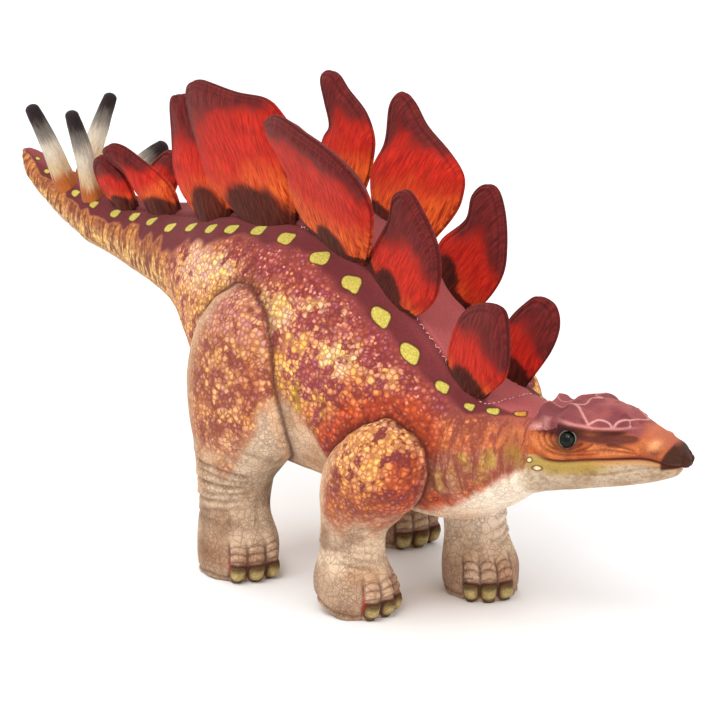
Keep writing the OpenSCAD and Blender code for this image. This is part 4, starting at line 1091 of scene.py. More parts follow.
def leg_form(table, side, foot_shift, toe_yaw, shoulder, rise, heel, folds, seed):
    """Grid of one leg, with what its paint needs."""
    plain, angle, height, shrink = leg_points(table, side, foot_shift, shoulder, rise, heel)
    outward = grid_normals(plain)
    spoke = (plain - plain.mean(1, keepdims=True)) * outward
    outward *= np.sign(spoke[..., :2].sum(-1, keepdims=True) + 1e-9)
    turned = degrees_from(angle, toe_yaw)
    relief = 0.55 * noise(plain, 22, seed) + 0.3 * noise(plain, 9, seed + 1) + 0.1 * noise(plain, 4, seed + 2)
    # toes, the notches between them, their knuckle folds and nails
    toe = np.clip(sum(bell(turned - TOE_TURN * k, 11.5) for k in TOES), 0, 1)
    relief += np.interp(height, [0, 3, 6, 10, 14, 18, 22], [1.2, 2.6, 3.0, 2.6, 1.8, 0.8, 0]) * toe
    for k in NOTCHES:
        relief -= 0.9 * bell(turned - TOE_TURN * k, 3.0) * np.interp(height, [0, 3, 14, 20], [0.4, 1, 0.9, 0])
    knuckle, nail = toe_marks(turned, height)
    relief -= 0.6 * bell(knuckle, 0.55) * smooth(height, 20, 17)
    relief += 0.5 * smooth(nail, 0.25, -0.25) + 0.45 * smooth(nail, 0, -2.4)
    # folds across the leg
    crease = np.zeros(height.shape)
    for level, at, spread, depth, slope in folds:
        turn = degrees_from(angle, at)
        gap = height - level - slope * turn / 30 - 0.7 * noise(plain, 8, seed + int(level))
        reach = smooth(np.abs(turn), spread, spread * 0.4)
        relief += depth * (0.7 * bell(gap - 1.9, 1.1) - 1.25 * bell(gap, 0.85)) * reach
        crease = np.maximum(crease, bell(gap + 0.2, 0.7) * reach * min(1, depth + 0.2))
    # the seams in front and behind, and the sole's edge, which rolls out a little in a wavy line
    seam = np.minimum(np.abs(degrees_from(angle, 0)), np.abs(angle - 180)) / DEGREES * 14
    relief -= 0.45 * bell(seam, 0.8) * smooth(height, 20, 26)
    wave = 1.4 + 0.35 * np.sin(angle / 57.3 * 9 + seed)
    relief += 0.75 * smooth(height, wave + 0.7, wave - 0.1) - 0.35 * bell(height - wave - 0.9, 0.5)
    points = plain + outward * (relief * np.minimum(shrink, 1))[..., None]
    points[..., 2] = np.maximum(points[..., 2], FLOOR_CLEARANCE)
    return {"rest": plain, "points": points, "normals": facing(grid_normals(points), outward), "angle": angle,
            "height": height, "toe": toe, "knuckle": knuckle, "nail": nail, "turned": turned, "wave": wave,
            "crease": crease}


def leg_print(f, hind, ahead, rear, n1, n2):
    """Where the side print covers a leg, its two colours, and the share of the second one."""
    angle, height = f["angle"], f["height"]
    outer = smooth(np.abs(degrees_from(angle, 52)), 116, 98)
    if hind:
        line = 52 + 34 * ahead * smooth(height, 100, 70) + 7 * n1 + 5 * n2
        printed = smooth(height, line - 11, line + 12)
        ground = layered(mix(tint(222, 162, 116), tint(240, 186, 132), smooth(n2, -0.5, 0.5)),
                         (tint(224, 162, 140), smooth(height, 96, 108) * 0.8),
                         (tint(214, 124, 70), 0.6 * bell(np.hypot((angle - 40) / 22, (height - 84) / 12), 1)))
        alt = flat_colour(height, tint(160, 96, 90))
        thigh = bell(np.hypot((angle - 85) / 45, (height - 80) / 16), 1)
        share = 0.39 + 0.2 * n1 + 0.2 * thigh - 0.16 * smooth(height, 96, 108)
    else:
        line = 40 + 5 * n1 + 6 * rear + 4 * n2
        printed = smooth(height, line - 9, line + 10)
        ground = layered(tint(244, 186, 118), (tint(204, 130, 86), smooth(height, 66, 50)),
                         (tint(198, 92, 56), 0.85 * ahead * smooth(height, 42, 50) * smooth(height, 76, 69)))
        alt = mix(tint(146, 76, 80), tint(172, 112, 98), smooth(height, 60, 46))
        share = 0.33 + 0.14 * n1 + 0.1 * smooth(height, 70, 50)
    return printed * outer * (1 - 0.8 * rear), ground, alt, share


def leg_lines(f):
    """How strongly lines are drawn on a leg, and their colour; those in the folds and at the join with the
    trunk are painted shade, and the nails' outlines are darkened at the top as painted shadow.
    """
    height, nail, turned = f["height"], f["nail"], f["turned"]
    notch = np.max([bell(turned - TOE_TURN * k, 2.2) for k in NOTCHES], 0)
    ink = np.max([
        0.62 * bell(f["knuckle"], 0.42) * smooth(height, 20, 16),
        0.8 * notch * smooth(height, 0.5, 2.5) * smooth(height, 19, 13),
        # painted shade in the folds across the leg
        0.3 * f["crease"],
        # the nails' printed outline, drawn stronger on the upper part as painted shadow under the toe's fold
        0.85 * smooth(np.abs(nail - 0.15), 0.75, 0.15) * (0.45 + 0.55 * smooth(height, 4, 7)),
        0.45 * bell(height - f["wave"] - 0.8, 0.45),
        # painted shade where the leg meets the trunk
        0.8 * bell(f["gap"] - 0.1, 0.8),
    ], 0)
    reddish = bell(turned - TOE_TURN * NOTCHES[-1], 3.2) * smooth(height, 2, 4) * smooth(height, 14, 9)
    return np.clip(ink, 0, 1), mix(tint(92, 56, 44), tint(170, 60, 48), reddish)


def leg_paint(f, hind, seed):
    """Everything that the printed plush reads at the points of a leg."""
    rest, angle, height = f["rest"], f["angle"], f["height"]
    n1, n2 = noise(rest, 9, seed + 5), noise(rest, 4, seed + 6)
    forward = np.cos(np.radians(angle))
    ahead = smooth(forward, 0.5, 0.9)
    rear = smooth(forward, -0.1, -0.6) if hind else smooth(forward, -0.15, -0.6) * smooth(height, 76, 58)
    printed, ground, alt, share = leg_print(f, hind, ahead, rear, n1, n2)
    # brown clouds over the cream, strongest part way up the leg
    brown_clouds = smooth(noise(rest, 11, seed + 7) + 0.4 * noise(rest, 11 / 2.3, seed + 8), -0.2, 0.7)
    brown_clouds = brown_clouds * np.interp(height, [4, 12, 24, 40, 52, 70], [0.35, 0.45, 0.6, 0.5, 0.35, 0.1])
    cream = layered(mix(tint(228, 204, 178), tint(202, 168, 138), smooth(n1, -0.3, 0.9)),
                    (tint(126, 92, 68), np.clip(brown_clouds * 1.15, 0, 0.85)),
                    # the rear edge is the print's cream, lightened further as painted rim light
                    (tint(232, 196, 160), rear * 0.7 * smooth(height, 20, 40)))
    if hind:
        cream, ground = cream * 0.9, ground * 0.88
    foot = 0.5 * smooth(height, 22, 12)
    # painted light: the far front leg's cream is lightened above the foot, in place of light reaching it
    far_leg_painted_light = 0.5 * (seed == FAR_FRONT) * (1 - printed) * smooth(height, 18, 30)
    base = layered(mix(cream, ground, printed), (tint(252, 238, 222), far_leg_painted_light),
                   (tint(190, 152, 124), foot * f["toe"]),
                   (tint(150, 112, 86), foot * smooth(f["toe"], 0.5, 0.1)),
                   (tint(206, 180, 146), 0.85 * smooth(height, f["wave"] + 0.5, f["wave"] - 0.3)),
                   # painted highlight: a pale edge beside the join with the trunk, standing in for a raised
                   # seam edge
                   (tint(232, 186, 146), 0.5 * bell(f["gap"] - 2.6, 1.3) * (height > 40)))
    ink, ink_and_shade_colour = leg_lines(f)
    # nail colour: its dark upper part is painted shadow under the toe's fold
    nail_colour = layered(tint(186, 166, 118), (tint(92, 70, 46), smooth(height, 4.4, 7.4)),
                          (tint(120, 98, 62), smooth(f["nail"], -1.6, -0.2) * 0.7))
    return {
        "rest": rest + PRINT_OFFSET, "flow": np.stack([angle / 57.3 * 15, height, 0 * height], -1),
        "rgb_base": base, "rgb_alt": alt, "rgb_ink": ink_and_shade_colour, "rgb_mark": nail_colour,
        "mottle": 0.25 * printed, "alt_share": np.clip(share, 0, 1),
        "pebble": printed * (0.9 if hind else 0.95), "spots": 0 * height, "streak": 0 * height,
        "crackle": np.clip(1 - printed * 0.75, 0, 1),
        "mark": f["nail"], "ink": ink,
    }


def surface_tree(points):
    """Search tree over a closed grid of rings."""
    faces = grid_faces(*points.shape[:2], ring=True)
    return BVHTree.FromPolygons(points.reshape(-1, 3).tolist(), faces.tolist())


def distance_to(tree, points, wanted):
    """Distance from each wanted point to the tree's surface where it is within 8 mm, else 99."""
    out = np.full(points.shape[:2], 99.0)
    for i, j in zip(*np.nonzero(wanted)):
        found = tree.find_nearest(points[i, j], 8.0)
        if found[0] is not None:
            out[i, j] = found[3]
    return out


def leg_forms():
    """The grids of the four legs, and the distance from each point of the trunk to the nearest leg."""
    forms = {}
    trunk_tree = surface_tree(P1[::2, ::2])
    near_legs = (S > -40) & (S < 122) & (PHI > 35) & (PHI < 150)
    leg_gap = np.full(S.shape, 99.0)
    for kind, side_name, foot_shift, toe_yaw, shoulder, rise, heel, seed in LEGS:
        hind, side = kind == "hind", SIDES[side_name]
        table, folds = (HIND_LEG, HIND_FOLDS) if hind else (FRONT_LEG, FRONT_FOLDS)
        form = leg_form(table, side, foot_shift, toe_yaw, shoulder, rise, heel, folds, seed)
        form["gap"] = distance_to(trunk_tree, form["points"], form["height"] > 36)
        forms[kind, side_name] = form
        beside = near_legs & (SIDE * side > 0) & ((S < 45) if hind else (S > 45))
        leg_gap = np.minimum(leg_gap, distance_to(surface_tree(form["points"][::2, ::2]), P1, beside))
    return forms, leg_gap


def sole(body, side, ring):
    """The lowest ring of a leg, turned in and filled flat on the ground."""
    centre = ring.mean(0)
    bottom = ring[:, 2].min()
    rings = [(1.0, 0.9), (0.985, 0.35), (0.95, 0.06), (0.85, 0.0), (0.6, 0.0), (0.3, 0.0), (0.02, 0.0)]
    points = np.concatenate([
        np.column_stack([centre[:2] + (ring[:, :2] - centre[:2]) * k, h + (ring[:, 2] - bottom) * k])
        for k, h in rings])
    faces = grid_faces(len(rings), LEG_COLUMNS, ring=True)
    last_ring = np.arange(len(points) - LEG_COLUMNS, len(points))
    if side > 0:
        faces = faces[:, ::-1]
    else:
        last_ring = last_ring[::-1]
    none = np.zeros(len(points))
    black = flat_colour(none, 0)
    values = {"rest": points + PRINT_OFFSET, "flow": points,
              "rgb_base": flat_colour(none, tint(208, 176, 148)),
              "rgb_alt": flat_colour(none, tint(150, 112, 86)), "rgb_ink": black, "rgb_mark": black,
              "mottle": none + 0.4, "alt_share": none, "pebble": none, "spots": none, "streak": none,
              "crackle": none + 0.5, "mark": none + FAR, "ink": none}
    add_mesh(body + "_sole_skin", points, [*faces, last_ring], HIDE, body,
             (body + "_sole",), values)


def leg(kind, side_name, seed):
    """Outer and inner skin and sole of one leg."""
    side = SIDES[side_name]
    form = FORMS[kind, side_name]
    values = leg_paint(form, kind == "hind", seed)
    body = f"{kind}_leg_{side_name}"
    half = LEG_COLUMNS // 2
    rings = form["points"].shape[0]
    for part, first, slot_name, hides in (("outer", 0, "side_fabric", (body + "_outer", body + "_filling")),
                                          ("inner", half, "underside_fabric", (body + "_inner",))):
        index = np.ix_(np.arange(rings), np.arange(first, first + half + 1) % LEG_COLUMNS)
        faces = grid_faces(rings, half + 1)
        if side < 0:
            faces = faces[:, ::-1]
        points, normals = (form[key][index].reshape(-1, 3) for key in ("points", "normals"))
        piece = add_mesh(f"{body}_{part}_skin", points, faces, HIDE, None, hides,
                         part_of(values, index), normals)
        bend(piece, "torso", body, body + "_swing", (0, 0, 12), (0, 0, -16))
    sole(body, side, form["points"][0])


FORMS, LEG_GAP = leg_forms()
cut_trunk(trunk_values())
for kind, side_name, *_, seed in LEGS:
    leg(kind, side_name, seed)


# ---------------------------------------------------------------- plates

# the tip that sets each leaf's lean (x, outward, z), then its outline from the rear of the base over the top
# to the front of the base, as (forward along the base, up) from the middle of the base
LEAVES = {
    (1, "right"): ((127, 16, 126), [(-4, -6), (-12.5, -1), (-13.6, 9.3), (-11.2, 23.4), (-5.7, 33.2),
        (2.5, 40.5), (9.7, 43.2), (13.2, 37.9), (15.9, 27.1), (15.5, 15.4), (10.3, 4.8), (5, -6)]),
    (1, "left"): ((123, 17, 124), [(-3, -8), (-9, 3), (-12, 15), (-8.5, 27), (-5, 31), (2, 32), (7.5, 27),
        (9.5, 18), (8, 6), (5, -8)]),
    (2, "right"): ((84, 21, 164), [(-2, -10), (-12, -7), (-16, -2), (-15, 9.5), (-13.4, 25), (-15, 36),
        (-11.5, 43.5), (-6.5, 45.3), (3.5, 42), (13, 37), (18.5, 28), (20, 17), (16.6, 4.7), (10, -6)]),
    (2, "left"): ((86, 21, 162), [(-1, -9), (-8.8, 3.3), (-10.7, 9), (-7.5, 23), (-11.3, 32), (-10, 39),
        (-5, 41.3), (4, 37), (12.4, 29.4), (18, 20.7), (19.2, 9), (17, -2), (11, -8)]),
    (3, "right"): ((21.5, 36, 183.5), [(-13.5, -7), (-21, -2), (-26, 9.5), (-25, 22.5), (-29, 33), (-32, 42),
        (-26.5, 49), (-17, 53.5), (-3.5, 55), (11, 55), (21.5, 51), (27, 42.5), (27, 30), (21.5, 13.5),
        (13, -5)]),
    (3, "left"): ((22, 34, 183), [(-12, -7), (-25, 5.7), (-29, 13), (-30, 23), (-37, 36), (-35, 42.7),
        (-28, 42), (-16.5, 37.4), (0.6, 34), (12.5, 29.6), (16.5, 22.7), (17, 15.6), (14, 3.6), (10, -7)]),
    (4, "right"): ((-25, 30.5, 190.5), [(-10.5, -6), (-20.6, 4.5), (-28, 13.6), (-29, 28), (-28, 43.7),
        (-24, 53), (-16, 56), (-6.5, 55), (8, 51.5), (22, 49), (27.7, 43.3), (31, 34.3), (28.3, 21.7),
        (24, 10.6), (17, -4)]),
    (4, "left"): ((-24, 33, 186), [(-7, -6), (-11, 6), (-11, 24), (-8.5, 30.4), (-13, 40), (-17, 49),
        (-14, 52), (-8.5, 50.7), (-2, 45), (10, 36.4), (17.4, 27), (19, 19), (18.4, 10), (13, -5)]),
    (5, "right"): ((-58, 18.5, 180), [(-7, -5), (-11.5, 3.8), (-16.4, 11.2), (-18, 21.6), (-14, 37),
        (-9.2, 47.5), (-4, 48.7), (0.6, 47), (6, 34), (11.5, 17.2), (13.5, 5), (9, -4)]),
    (5, "left"): ((-64, 20, 168), [(-7, -5), (-12, 5), (-13.5, 15), (-11, 27), (-6, 34), (0, 35), (5, 31),
        (9, 21), (11, 9), (9, -4)]),
    (6, "right"): ((-104, 18, 151), [(-7, -4), (-10, 4), (-13, 10), (-15.5, 17), (-22, 22.5), (-24.3, 26.6),
        (-18.5, 29), (-12, 27.4), (-3.7, 21.2), (6, 14.4), (10.8, 7.7), (10, -3)]),
    (6, "left"): ((-104, 20, 148), [(-7, -4), (-10, 6), (-12, 14), (-13, 21), (-9, 26), (-3, 25), (3, 19),
        (8, 12), (10, 5), (9, -3)]),
    (7, "right"): ((-116, 15, 146), [(-5, -4), (-9.8, 2.9), (-12.8, 9.5), (-11.2, 16.2), (-7, 20.8),
        (-1.2, 22), (4.0, 16.3), (6.8, 8.6), (7, -3)]),
    (7, "left"): ((-113, 15, 142), [(-5, -4), (-9, 5), (-8.5, 12.5), (-2.5, 19), (2.8, 20.2), (6.4, 17.3),
        (9, 11), (9, 5), (7, -3)]),
}
LEAF_ROWS, LEAF_COLUMNS = 64, 44
# the plate's edge as seen in section: outward, sideways, how dark (painted shade, darkest in the groove
# between the two ridges)
LEAF_RIM = [(0.55, 1.32, 0.15), (0.85, 0.95, 0.1), (0.7, 0.55, 0.5), (0.05, 0.2, 1.0), (0.05, -0.2, 1.0),
            (0.7, -0.55, 0.5), (0.85, -0.95, 0.1), (0.55, -1.32, 0.15)]


def leaf_edges(outline):
    """The outline's rear edge and front edge, each from the base to the tip in equal steps."""
    line = curve(outline, 0.25)
    highest = outline[int(np.argmax([up for _, up in outline]))]
    peak = int(np.argmin(np.hypot(*(line - np.array(highest)).T)))
    return even_steps(line[: peak + 1], LEAF_ROWS + 1), even_steps(line[peak:][::-1], LEAF_ROWS + 1)


def leaf_axes(joint, tip, side):
    """Middle of a plate's base, its direction along the base, up the leaf, and out of its face."""
    middle = np.array(joint["pos_m"]) / MM
    along = np.array(joint["axis"])
    along = along * np.sign(along[0])
    towards = np.array([tip[0] + X_SHIFT, side * tip[1], tip[2]]) - middle
    face = np.cross(along, towards)
    face /= np.linalg.norm(face)
    up = np.cross(face, along)
    if up @ towards < 0:
        up, face = -up, -face
    return middle, along, up, face


def leaf_ring():
    """Rows and columns of the leaf's edge points, up the rear, over the tip and down the front."""
    up_rear = [(i, 0) for i in range(LEAF_ROWS + 1)]
    down_front = [(i, LEAF_COLUMNS) for i in range(LEAF_ROWS, -1, -1)]
    return np.array(up_rear + down_front).T


def with_depth(flat, depth):
    return np.concatenate([flat, np.full(flat.shape[:-1] + (1,), float(depth))], -1)


def plate(number, side_name, tip, outline, seed):
    """One padded back plate: two puffed faces with a stitched double ridge, joined round the edge."""
    name = f"plate_{number}_{side_name}"
    middle, along, up, face = leaf_axes(JOINTS[name + "_flop"], tip, SIDES[side_name])
    rear, front = leaf_edges(outline)
    tall = max(height for _, height in outline)
    even = np.linspace(0, 1, LEAF_COLUMNS + 1)
    column = (0.55 * (1 - np.cos(math.pi * even)) / 2 + 0.45 * even)[None, :, None]
    flat = rear[:, None] + (front - rear)[:, None] * column
    height = flat[..., 1]
    gap = line_gap(flat, np.concatenate([rear, front[::-1]]), 99.0)
    share = np.linspace(0, 1, LEAF_ROWS + 1)[:, None] * np.ones_like(gap)
    here = with_depth(flat, 0)
    sway = 1.6 * noise(here, 30, seed) * smooth(height, 0, tall) + 1.2 * (height / tall) ** 2

    def puff(facing_side):
        shifted = here + (0, 0, 40 * facing_side)
        padding = (2.0 + 0.035 * tall) * (1 - np.exp(-gap / 4.2)) * (1 + 0.10 * noise(shifted, 9, seed + 3))
        ridges = 0.38 * bell(gap - 0.55, 0.5) - 0.42 * bell(gap - 1.75, 0.55) + 0.2 * bell(gap - 3.0, 0.8)
        return 1.15 + padding + ridges + 0.22 * noise(shifted, 3.2, seed + 5) * bell(gap - 2.5, 2.2)

    def placed(spot, off):
        return middle + spot[..., 0:1] * along + spot[..., 1:2] * up + off[..., None] * face

    ring = tuple(leaf_ring())
    border = flat[ring]
    tangent = np.gradient(border, axis=0)
    outward = np.stack([-tangent[:, 1], tangent[:, 0]], -1)
    outward /= np.maximum(np.linalg.norm(outward, axis=1, keepdims=True), 1e-9)
    if ((border - flat.mean((0, 1))) * outward).sum() < 0:
        outward = -outward
    rim = [placed(border + outward * out, sway[ring] + sideways) for out, sideways, _ in LEAF_RIM]
    faces_of_leaf = [placed(flat, sway + puff(1)), placed(flat, sway - puff(-1))]
    points = np.concatenate([grid.reshape(-1, 3) for grid in faces_of_leaf] + rim)
    size, around = gap.size, len(border)
    index = np.arange(size).reshape(gap.shape)
    quads = grid_faces(*gap.shape)
    rim_rows = [2 * size + k * around + np.arange(around) for k in range(len(LEAF_RIM))]
    strips = np.array([index[ring], *rim_rows, index[ring] + size])
    base = [*index[0], *strips[1:-1, -1], *(index[0][::-1] + size), *strips[-2:0:-1, 0]]
    faces = [*quads, *(quads[:, ::-1] + size), *quads_between(strips), base[::-1]]
    leaf = np.concatenate([with_depth(flat, 0).reshape(-1, 3), with_depth(flat, 50).reshape(-1, 3)]
                          + [with_depth(border, 50 * (sideways < 0)) for _, sideways, _ in LEAF_RIM])

    def stored(grid):
        return np.concatenate([grid.ravel()] * 2 + [grid[ring]] * len(LEAF_RIM))

    broad = number < 4
    wide = 11 if broad else 0.42 * np.ptp([forward for forward, _ in outline])
    root = bell((flat[..., 0] - 1) / wide, 1) * bell(height / ((0.27 if broad else 0.33) * tall), 1)
    tone = share + 0.17 * bell(gap, 5) * smooth(share, 0.3, 0.62) + (0.09 if number < 3 else 0)
    # painted shade in the groove inside the edge ridge
    groove_shade = 0.45 * bell(gap - 1.75, 0.5).ravel()
    values = {"leaf": leaf + (0, 0, seed), "share": stored(tone),
              "root": stored(np.maximum(root, 0.75 * bell(height, 3.5))),
              "rim": np.concatenate([groove_shade] * 2 + [np.full(around, dark) for _, _, dark in LEAF_RIM])}
    piece = add_mesh(name + "_plush", points, faces, PLATE, None, (name,), values)
    face_outward(piece, weld=True)
    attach(piece, name)


for count, ((number, side_name), (tip, outline)) in enumerate(LEAVES.items()):
    plate(number, side_name, tip, outline, 500 + 10 * count)


# ---------------------------------------------------------------- spikes

# tip (x, outward, z)
SPIKES = {"front_right": (-131, 19, 160), "front_left": (-125, 23, 142), "rear_right": (-158, 20, 158.5),
          "rear_left": (-159, 21, 158)}
SPIKE_ROWS, SPIKE_COLUMNS = 70, 48
SPIKE_SUNK = 0.14


def spike(key, tip, seed):
    """One tapered tail spike, its root sunk in the tail."""
    name = "spike_" + key
    base = np.array(JOINTS[name + "_flop"]["pos_m"]) / MM
    side = -1 if key.endswith("right") else 1
    axis = np.array([tip[0] + X_SHIFT, side * tip[1], tip[2]]) - base
    length = np.linalg.norm(axis)
    axis /= length
    e1 = np.cross(axis, (0, 1, 0))
    e1 /= np.linalg.norm(e1)
    e2 = np.cross(axis, e1)
    t = np.linspace(-SPIKE_SUNK, 1, SPIKE_ROWS)
    cap = np.radians(np.linspace(12, 90, 8))
    radius = np.interp(t, [-SPIKE_SUNK, 0, 0.2, 0.6, 0.9, 1], [5.6, 5.2, 4.7, 4.1, 3.5, 3.1])
    t = np.concatenate([t, 1 + 2.4 / length * np.sin(cap)])
    radius = np.concatenate([radius, 3.1 * np.cos(cap) + 0.02])
    T, A = np.meshgrid(t, np.arange(SPIKE_COLUMNS) * 2 * math.pi / SPIKE_COLUMNS, indexing="ij")
    R = radius[:, None] * np.ones_like(A)
    where = np.stack([R * np.cos(A), T * length, R * np.sin(A)], -1)
    folds = 0.35 * smooth(np.sin(A * 3 + seed + 1.2 * T), 0.55, 1) * smooth(T, 0.75, 0.15)
    seam = 0.35 * bell((A - math.pi) * 4, 0.8)
    R = R * (1 + 0.05 * noise(where, 7, seed)) - (folds + seam) * (R > 1)
    sway = 1.2 * np.sin(math.pi * np.clip(T, 0, 1)) * (1 if seed % 20 else -1)
    points = base + (T * length)[..., None] * axis
    points = points + (R * np.cos(A) * 1.06 + sway)[..., None] * e1 + (R * np.sin(A) * 0.92)[..., None] * e2
    index = np.arange(A.size).reshape(A.shape)
    faces = [*grid_faces(*A.shape, ring=True), index[0][::-1], index[-1]]
    values = {"leaf": np.stack([A * 4.2, T * length, 0 * R + seed], -1).reshape(-1, 3), "share": T.ravel()}
    piece = add_mesh(name + "_plush", points.reshape(-1, 3), faces, SPIKE, None, (name,),
                     values)
    face_outward(piece)
    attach(piece, name)


for count, (key, tip) in enumerate(SPIKES.items()):
    spike(key, tip, 700 + 10 * count)


# ---------------------------------------------------------------- eyes

EYE_COLUMNS = 64
RIM_THICKNESS = 0.42


def flank_spot(s, z, side):
    """Point and outward normal on the finished side of the skin at a distance along and a height."""
    row = int(np.argmin(np.abs(row_s - s)))
    half = slice(0, HALF + 1)
    column = int(np.argmin(np.abs(Z[row, half] - z) + 1e3 * (PHI[row, half] < 25)))
    column = column if side < 0 else -column % (2 * HALF)
    return P1[row, column], N1[row, column]


def eye_ball(radius, flatness):
    """A flattened ball: local points (x, y, out) and faces."""
    T, Q = np.meshgrid(np.linspace(0.02, math.pi - 0.02, 33), EYE_ANGLES, indexing="ij")
    local = radius * np.stack([np.sin(T) * np.cos(Q), np.sin(T) * np.sin(Q), flatness * np.cos(T)], -1)
    index = np.arange(T.size).reshape(T.shape)
    return local, [*other_way(grid_faces(*T.shape, ring=True)), index[0], index[-1][::-1]]


def eye_rim(radius, out):
    """The ring that an eye sits in: local points and faces."""
    T, Q = np.meshgrid(np.linspace(0, 2 * math.pi, 17)[:-1], EYE_ANGLES, indexing="ij")
    R = radius + RIM_THICKNESS * np.cos(T)
    local = np.stack([R * np.cos(Q), R * np.sin(Q), RIM_THICKNESS * np.sin(T) + out], -1)
    return local, grid_faces(*T.shape, ring=True, tube=True)


def eye_piece(name, form, centre, axis, material, hides):
    local, faces = form
    z = Vector(axis).normalized()
    x = z.orthogonal().normalized()
    points = local.reshape(-1, 3) @ np.array([x, z.cross(x), z]) + centre
    add_mesh(name, points, faces, material, "head", hides)


EYE_ANGLES = np.arange(EYE_COLUMNS) * 2 * math.pi / EYE_COLUMNS
for side_name, side in SIDES.items():
    spot, out = flank_spot(EYE_S, EYE_Z, side)
    eye_piece(f"eye_{side_name}_ball", eye_ball(3.15, 0.72), spot + out * 0.6, out, EYE,
              (f"eye_{side_name}",))
    eye_piece(f"eye_{side_name}_rim", eye_rim(3.2, 0.3), spot + out * 0.35, out, EYE_RIM,
              (f"eye_washer_{side_name}",))


# ---------------------------------------------------------------- stitches

THREAD_RADIUS = 0.17
THREAD_RINGS, THREAD_COLUMNS = 9, 8
SEAM_PITCH = 1.5
# runs of the plate seam that no plate foot covers, as distances along
STITCHED = {"right": [(17.5, 26), (56, 59), (81, 100)], "left": [(2, 15), (41, 57), (79, 98)]}
# stitches left out at each outer end of the nape seam, where the first plates stand
NAPE_SKIPPED = {"right": 4, "left": 7}


def stitch(point, normal, direction, length):
    """Points and faces of one short raised thread."""
    direction = direction - normal * (direction @ normal)
    direction /= np.linalg.norm(direction)
    across = np.cross(normal, direction)
    t = np.linspace(-1, 1, THREAD_RINGS)[:, None, None]
    turn = (2 * math.pi * np.arange(THREAD_COLUMNS) / THREAD_COLUMNS)[None, :, None]
    radius = THREAD_RADIUS * np.sqrt(np.maximum(0.03, 1 - t**4))
    lift = 0.32 * (1 - t * t) - 0.12 + radius * np.sin(turn)
    points = point + direction * (length / 2 * t) + normal * lift + across * (radius * np.cos(turn))
    index = np.arange(THREAD_RINGS * THREAD_COLUMNS).reshape(THREAD_RINGS, THREAD_COLUMNS)
    faces = [*grid_faces(THREAD_RINGS, THREAD_COLUMNS, ring=True), index[0][::-1], index[-1]]
    return points.reshape(-1, 3), faces


def stitches(name, places, body, length=1.7):
    """A row of threads as one piece: each place is (point, normal, direction)."""
    points, faces = [], []
    for number, place in enumerate(places):
        thread_points, thread_faces = stitch(*place, length)
        points.append(thread_points)
        faces += [face + number * len(thread_points) for face in thread_faces]
    return add_mesh(name, np.concatenate(points), faces, THREAD, body)


def seam_places(start, end, side):
    """A zigzag of stitches over the plate seam."""
    places = []
    column = STRIP if side < 0 else -STRIP
    for number, s in enumerate(np.arange(start, end, SEAM_PITCH)):
        row = int(np.argmin(np.abs(row_s - s)))
        ahead = P1[row + 2, column] - P1[row - 2, column]
        ahead /= np.linalg.norm(ahead)
        normal = N1[row, column]
        zigzag = (0.9 if number % 2 else -0.9) * np.cross(normal, ahead)
        places.append((P1[row, column] + normal * 0.3, normal, ahead + zigzag))
    return places


def nape_places(side, skipped):
    """Stitches in a row along one half of the seam round the nape."""
    spots = []
    for s, out in curve(NAPE, 1.6)[skipped:]:
        row = int(np.argmin(np.abs(row_s - s)))
        spots.append((row, int(np.argmin(np.where(PHI[row] < 90, np.abs(ACROSS[row] - side * out), 99)))))
    places = []
    for here, after in zip(spots[:-1], spots[1:]):
        step = P1[after] - P1[here]
        if np.linalg.norm(step) > 0.2:
            places.append((P1[here] + N1[here] * 0.25, N1[here], step))
    return places


for side_name, side in SIDES.items():
    places = [place for start, end in STITCHED[side_name] for place in seam_places(start, end, side)]
    stitches(f"back_stitches_{side_name}", places, "torso")
places = [place for side_name, side in SIDES.items() for place in nape_places(side, NAPE_SKIPPED[side_name])]
bend(stitches("nape_stitches", places, None, 1.1), *NECK_BEND)


# ---------------------------------------------------------------- stage

CAMERA_VIEW, CAMERA_DISTANCE, CAMERA_TARGET = (50, 15.5), 1.4, (0.07114, -0.032, 0.1)
FLOOR_HALF, FLOOR_WHITE = 12.0, 0.92
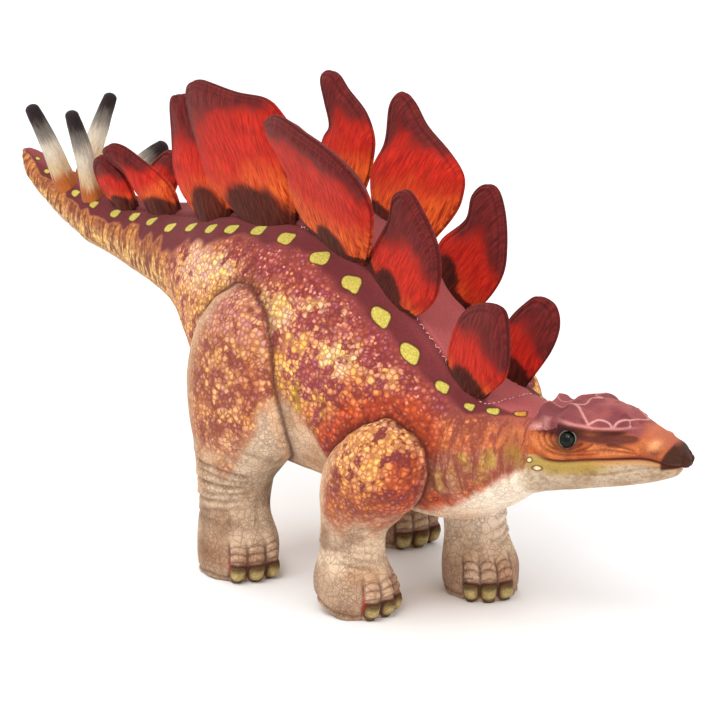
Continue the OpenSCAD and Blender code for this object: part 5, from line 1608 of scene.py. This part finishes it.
# azimuth, elevation, size in metres, power
LIGHTS = {"key": (15, 55, 1.0, 9.5), "spark": (38, 46, 0.3, 3.2), "fill": (76, 14, 1.2, 6),
          "back": (250, 50, 1.2, 8)}
LIGHT_DISTANCE, LIGHT_TARGET = 1.5, (0, 0, 0.09)


def look_from(thing, azimuth, elevation, distance, target):
    """Puts a camera or lamp at a distance from the target, looking at it."""
    a, e = math.radians(azimuth), math.radians(elevation)
    back = Vector((math.sin(a) * math.cos(e), -math.cos(a) * math.cos(e), math.sin(e)))
    thing.location = Vector(target) + back * distance
    thing.rotation_euler = back.to_track_quat("Z", "Y").to_euler()
    bpy.context.scene.collection.objects.link(thing)


def stage_camera():
    data = bpy.data.cameras.new("camera")
    data.lens = 185.5
    data.sensor_width = 36
    data.clip_end = 50
    camera = bpy.data.objects.new("camera", data)
    look_from(camera, *CAMERA_VIEW, CAMERA_DISTANCE, CAMERA_TARGET)
    bpy.context.scene.camera = camera


def stage_lights():
    world = bpy.data.worlds.new("studio")
    world.use_nodes = True
    background = world.node_tree.nodes["Background"]
    background.inputs["Color"].default_value = (1, 1, 1, 1)
    background.inputs["Strength"].default_value = 0.86
    bpy.context.scene.world = world
    for name, (azimuth, elevation, size, power) in LIGHTS.items():
        data = bpy.data.lights.new(name, "AREA")
        data.size = size
        data.energy = power
        look_from(bpy.data.objects.new(name, data), azimuth, elevation, LIGHT_DISTANCE, LIGHT_TARGET)


def stage_floor():
    mesh = bpy.data.meshes.new("floor")
    corners = [(x * FLOOR_HALF, y * FLOOR_HALF, 0) for x, y in ((-1, -1), (1, -1), (1, 1), (-1, 1))]
    mesh.from_pydata(corners, [], [(0, 1, 2, 3)])
    mesh.materials.append(plain_material("floor_white", np.full(3, FLOOR_WHITE), 0.9))
    floor = bpy.data.objects.new("floor", mesh)
    bpy.context.scene.collection.objects.link(floor)


bpy.context.scene.view_settings.view_transform = "Standard"
bpy.context.scene.view_settings.look = "None"
stage_camera()
stage_lights()
stage_floor()
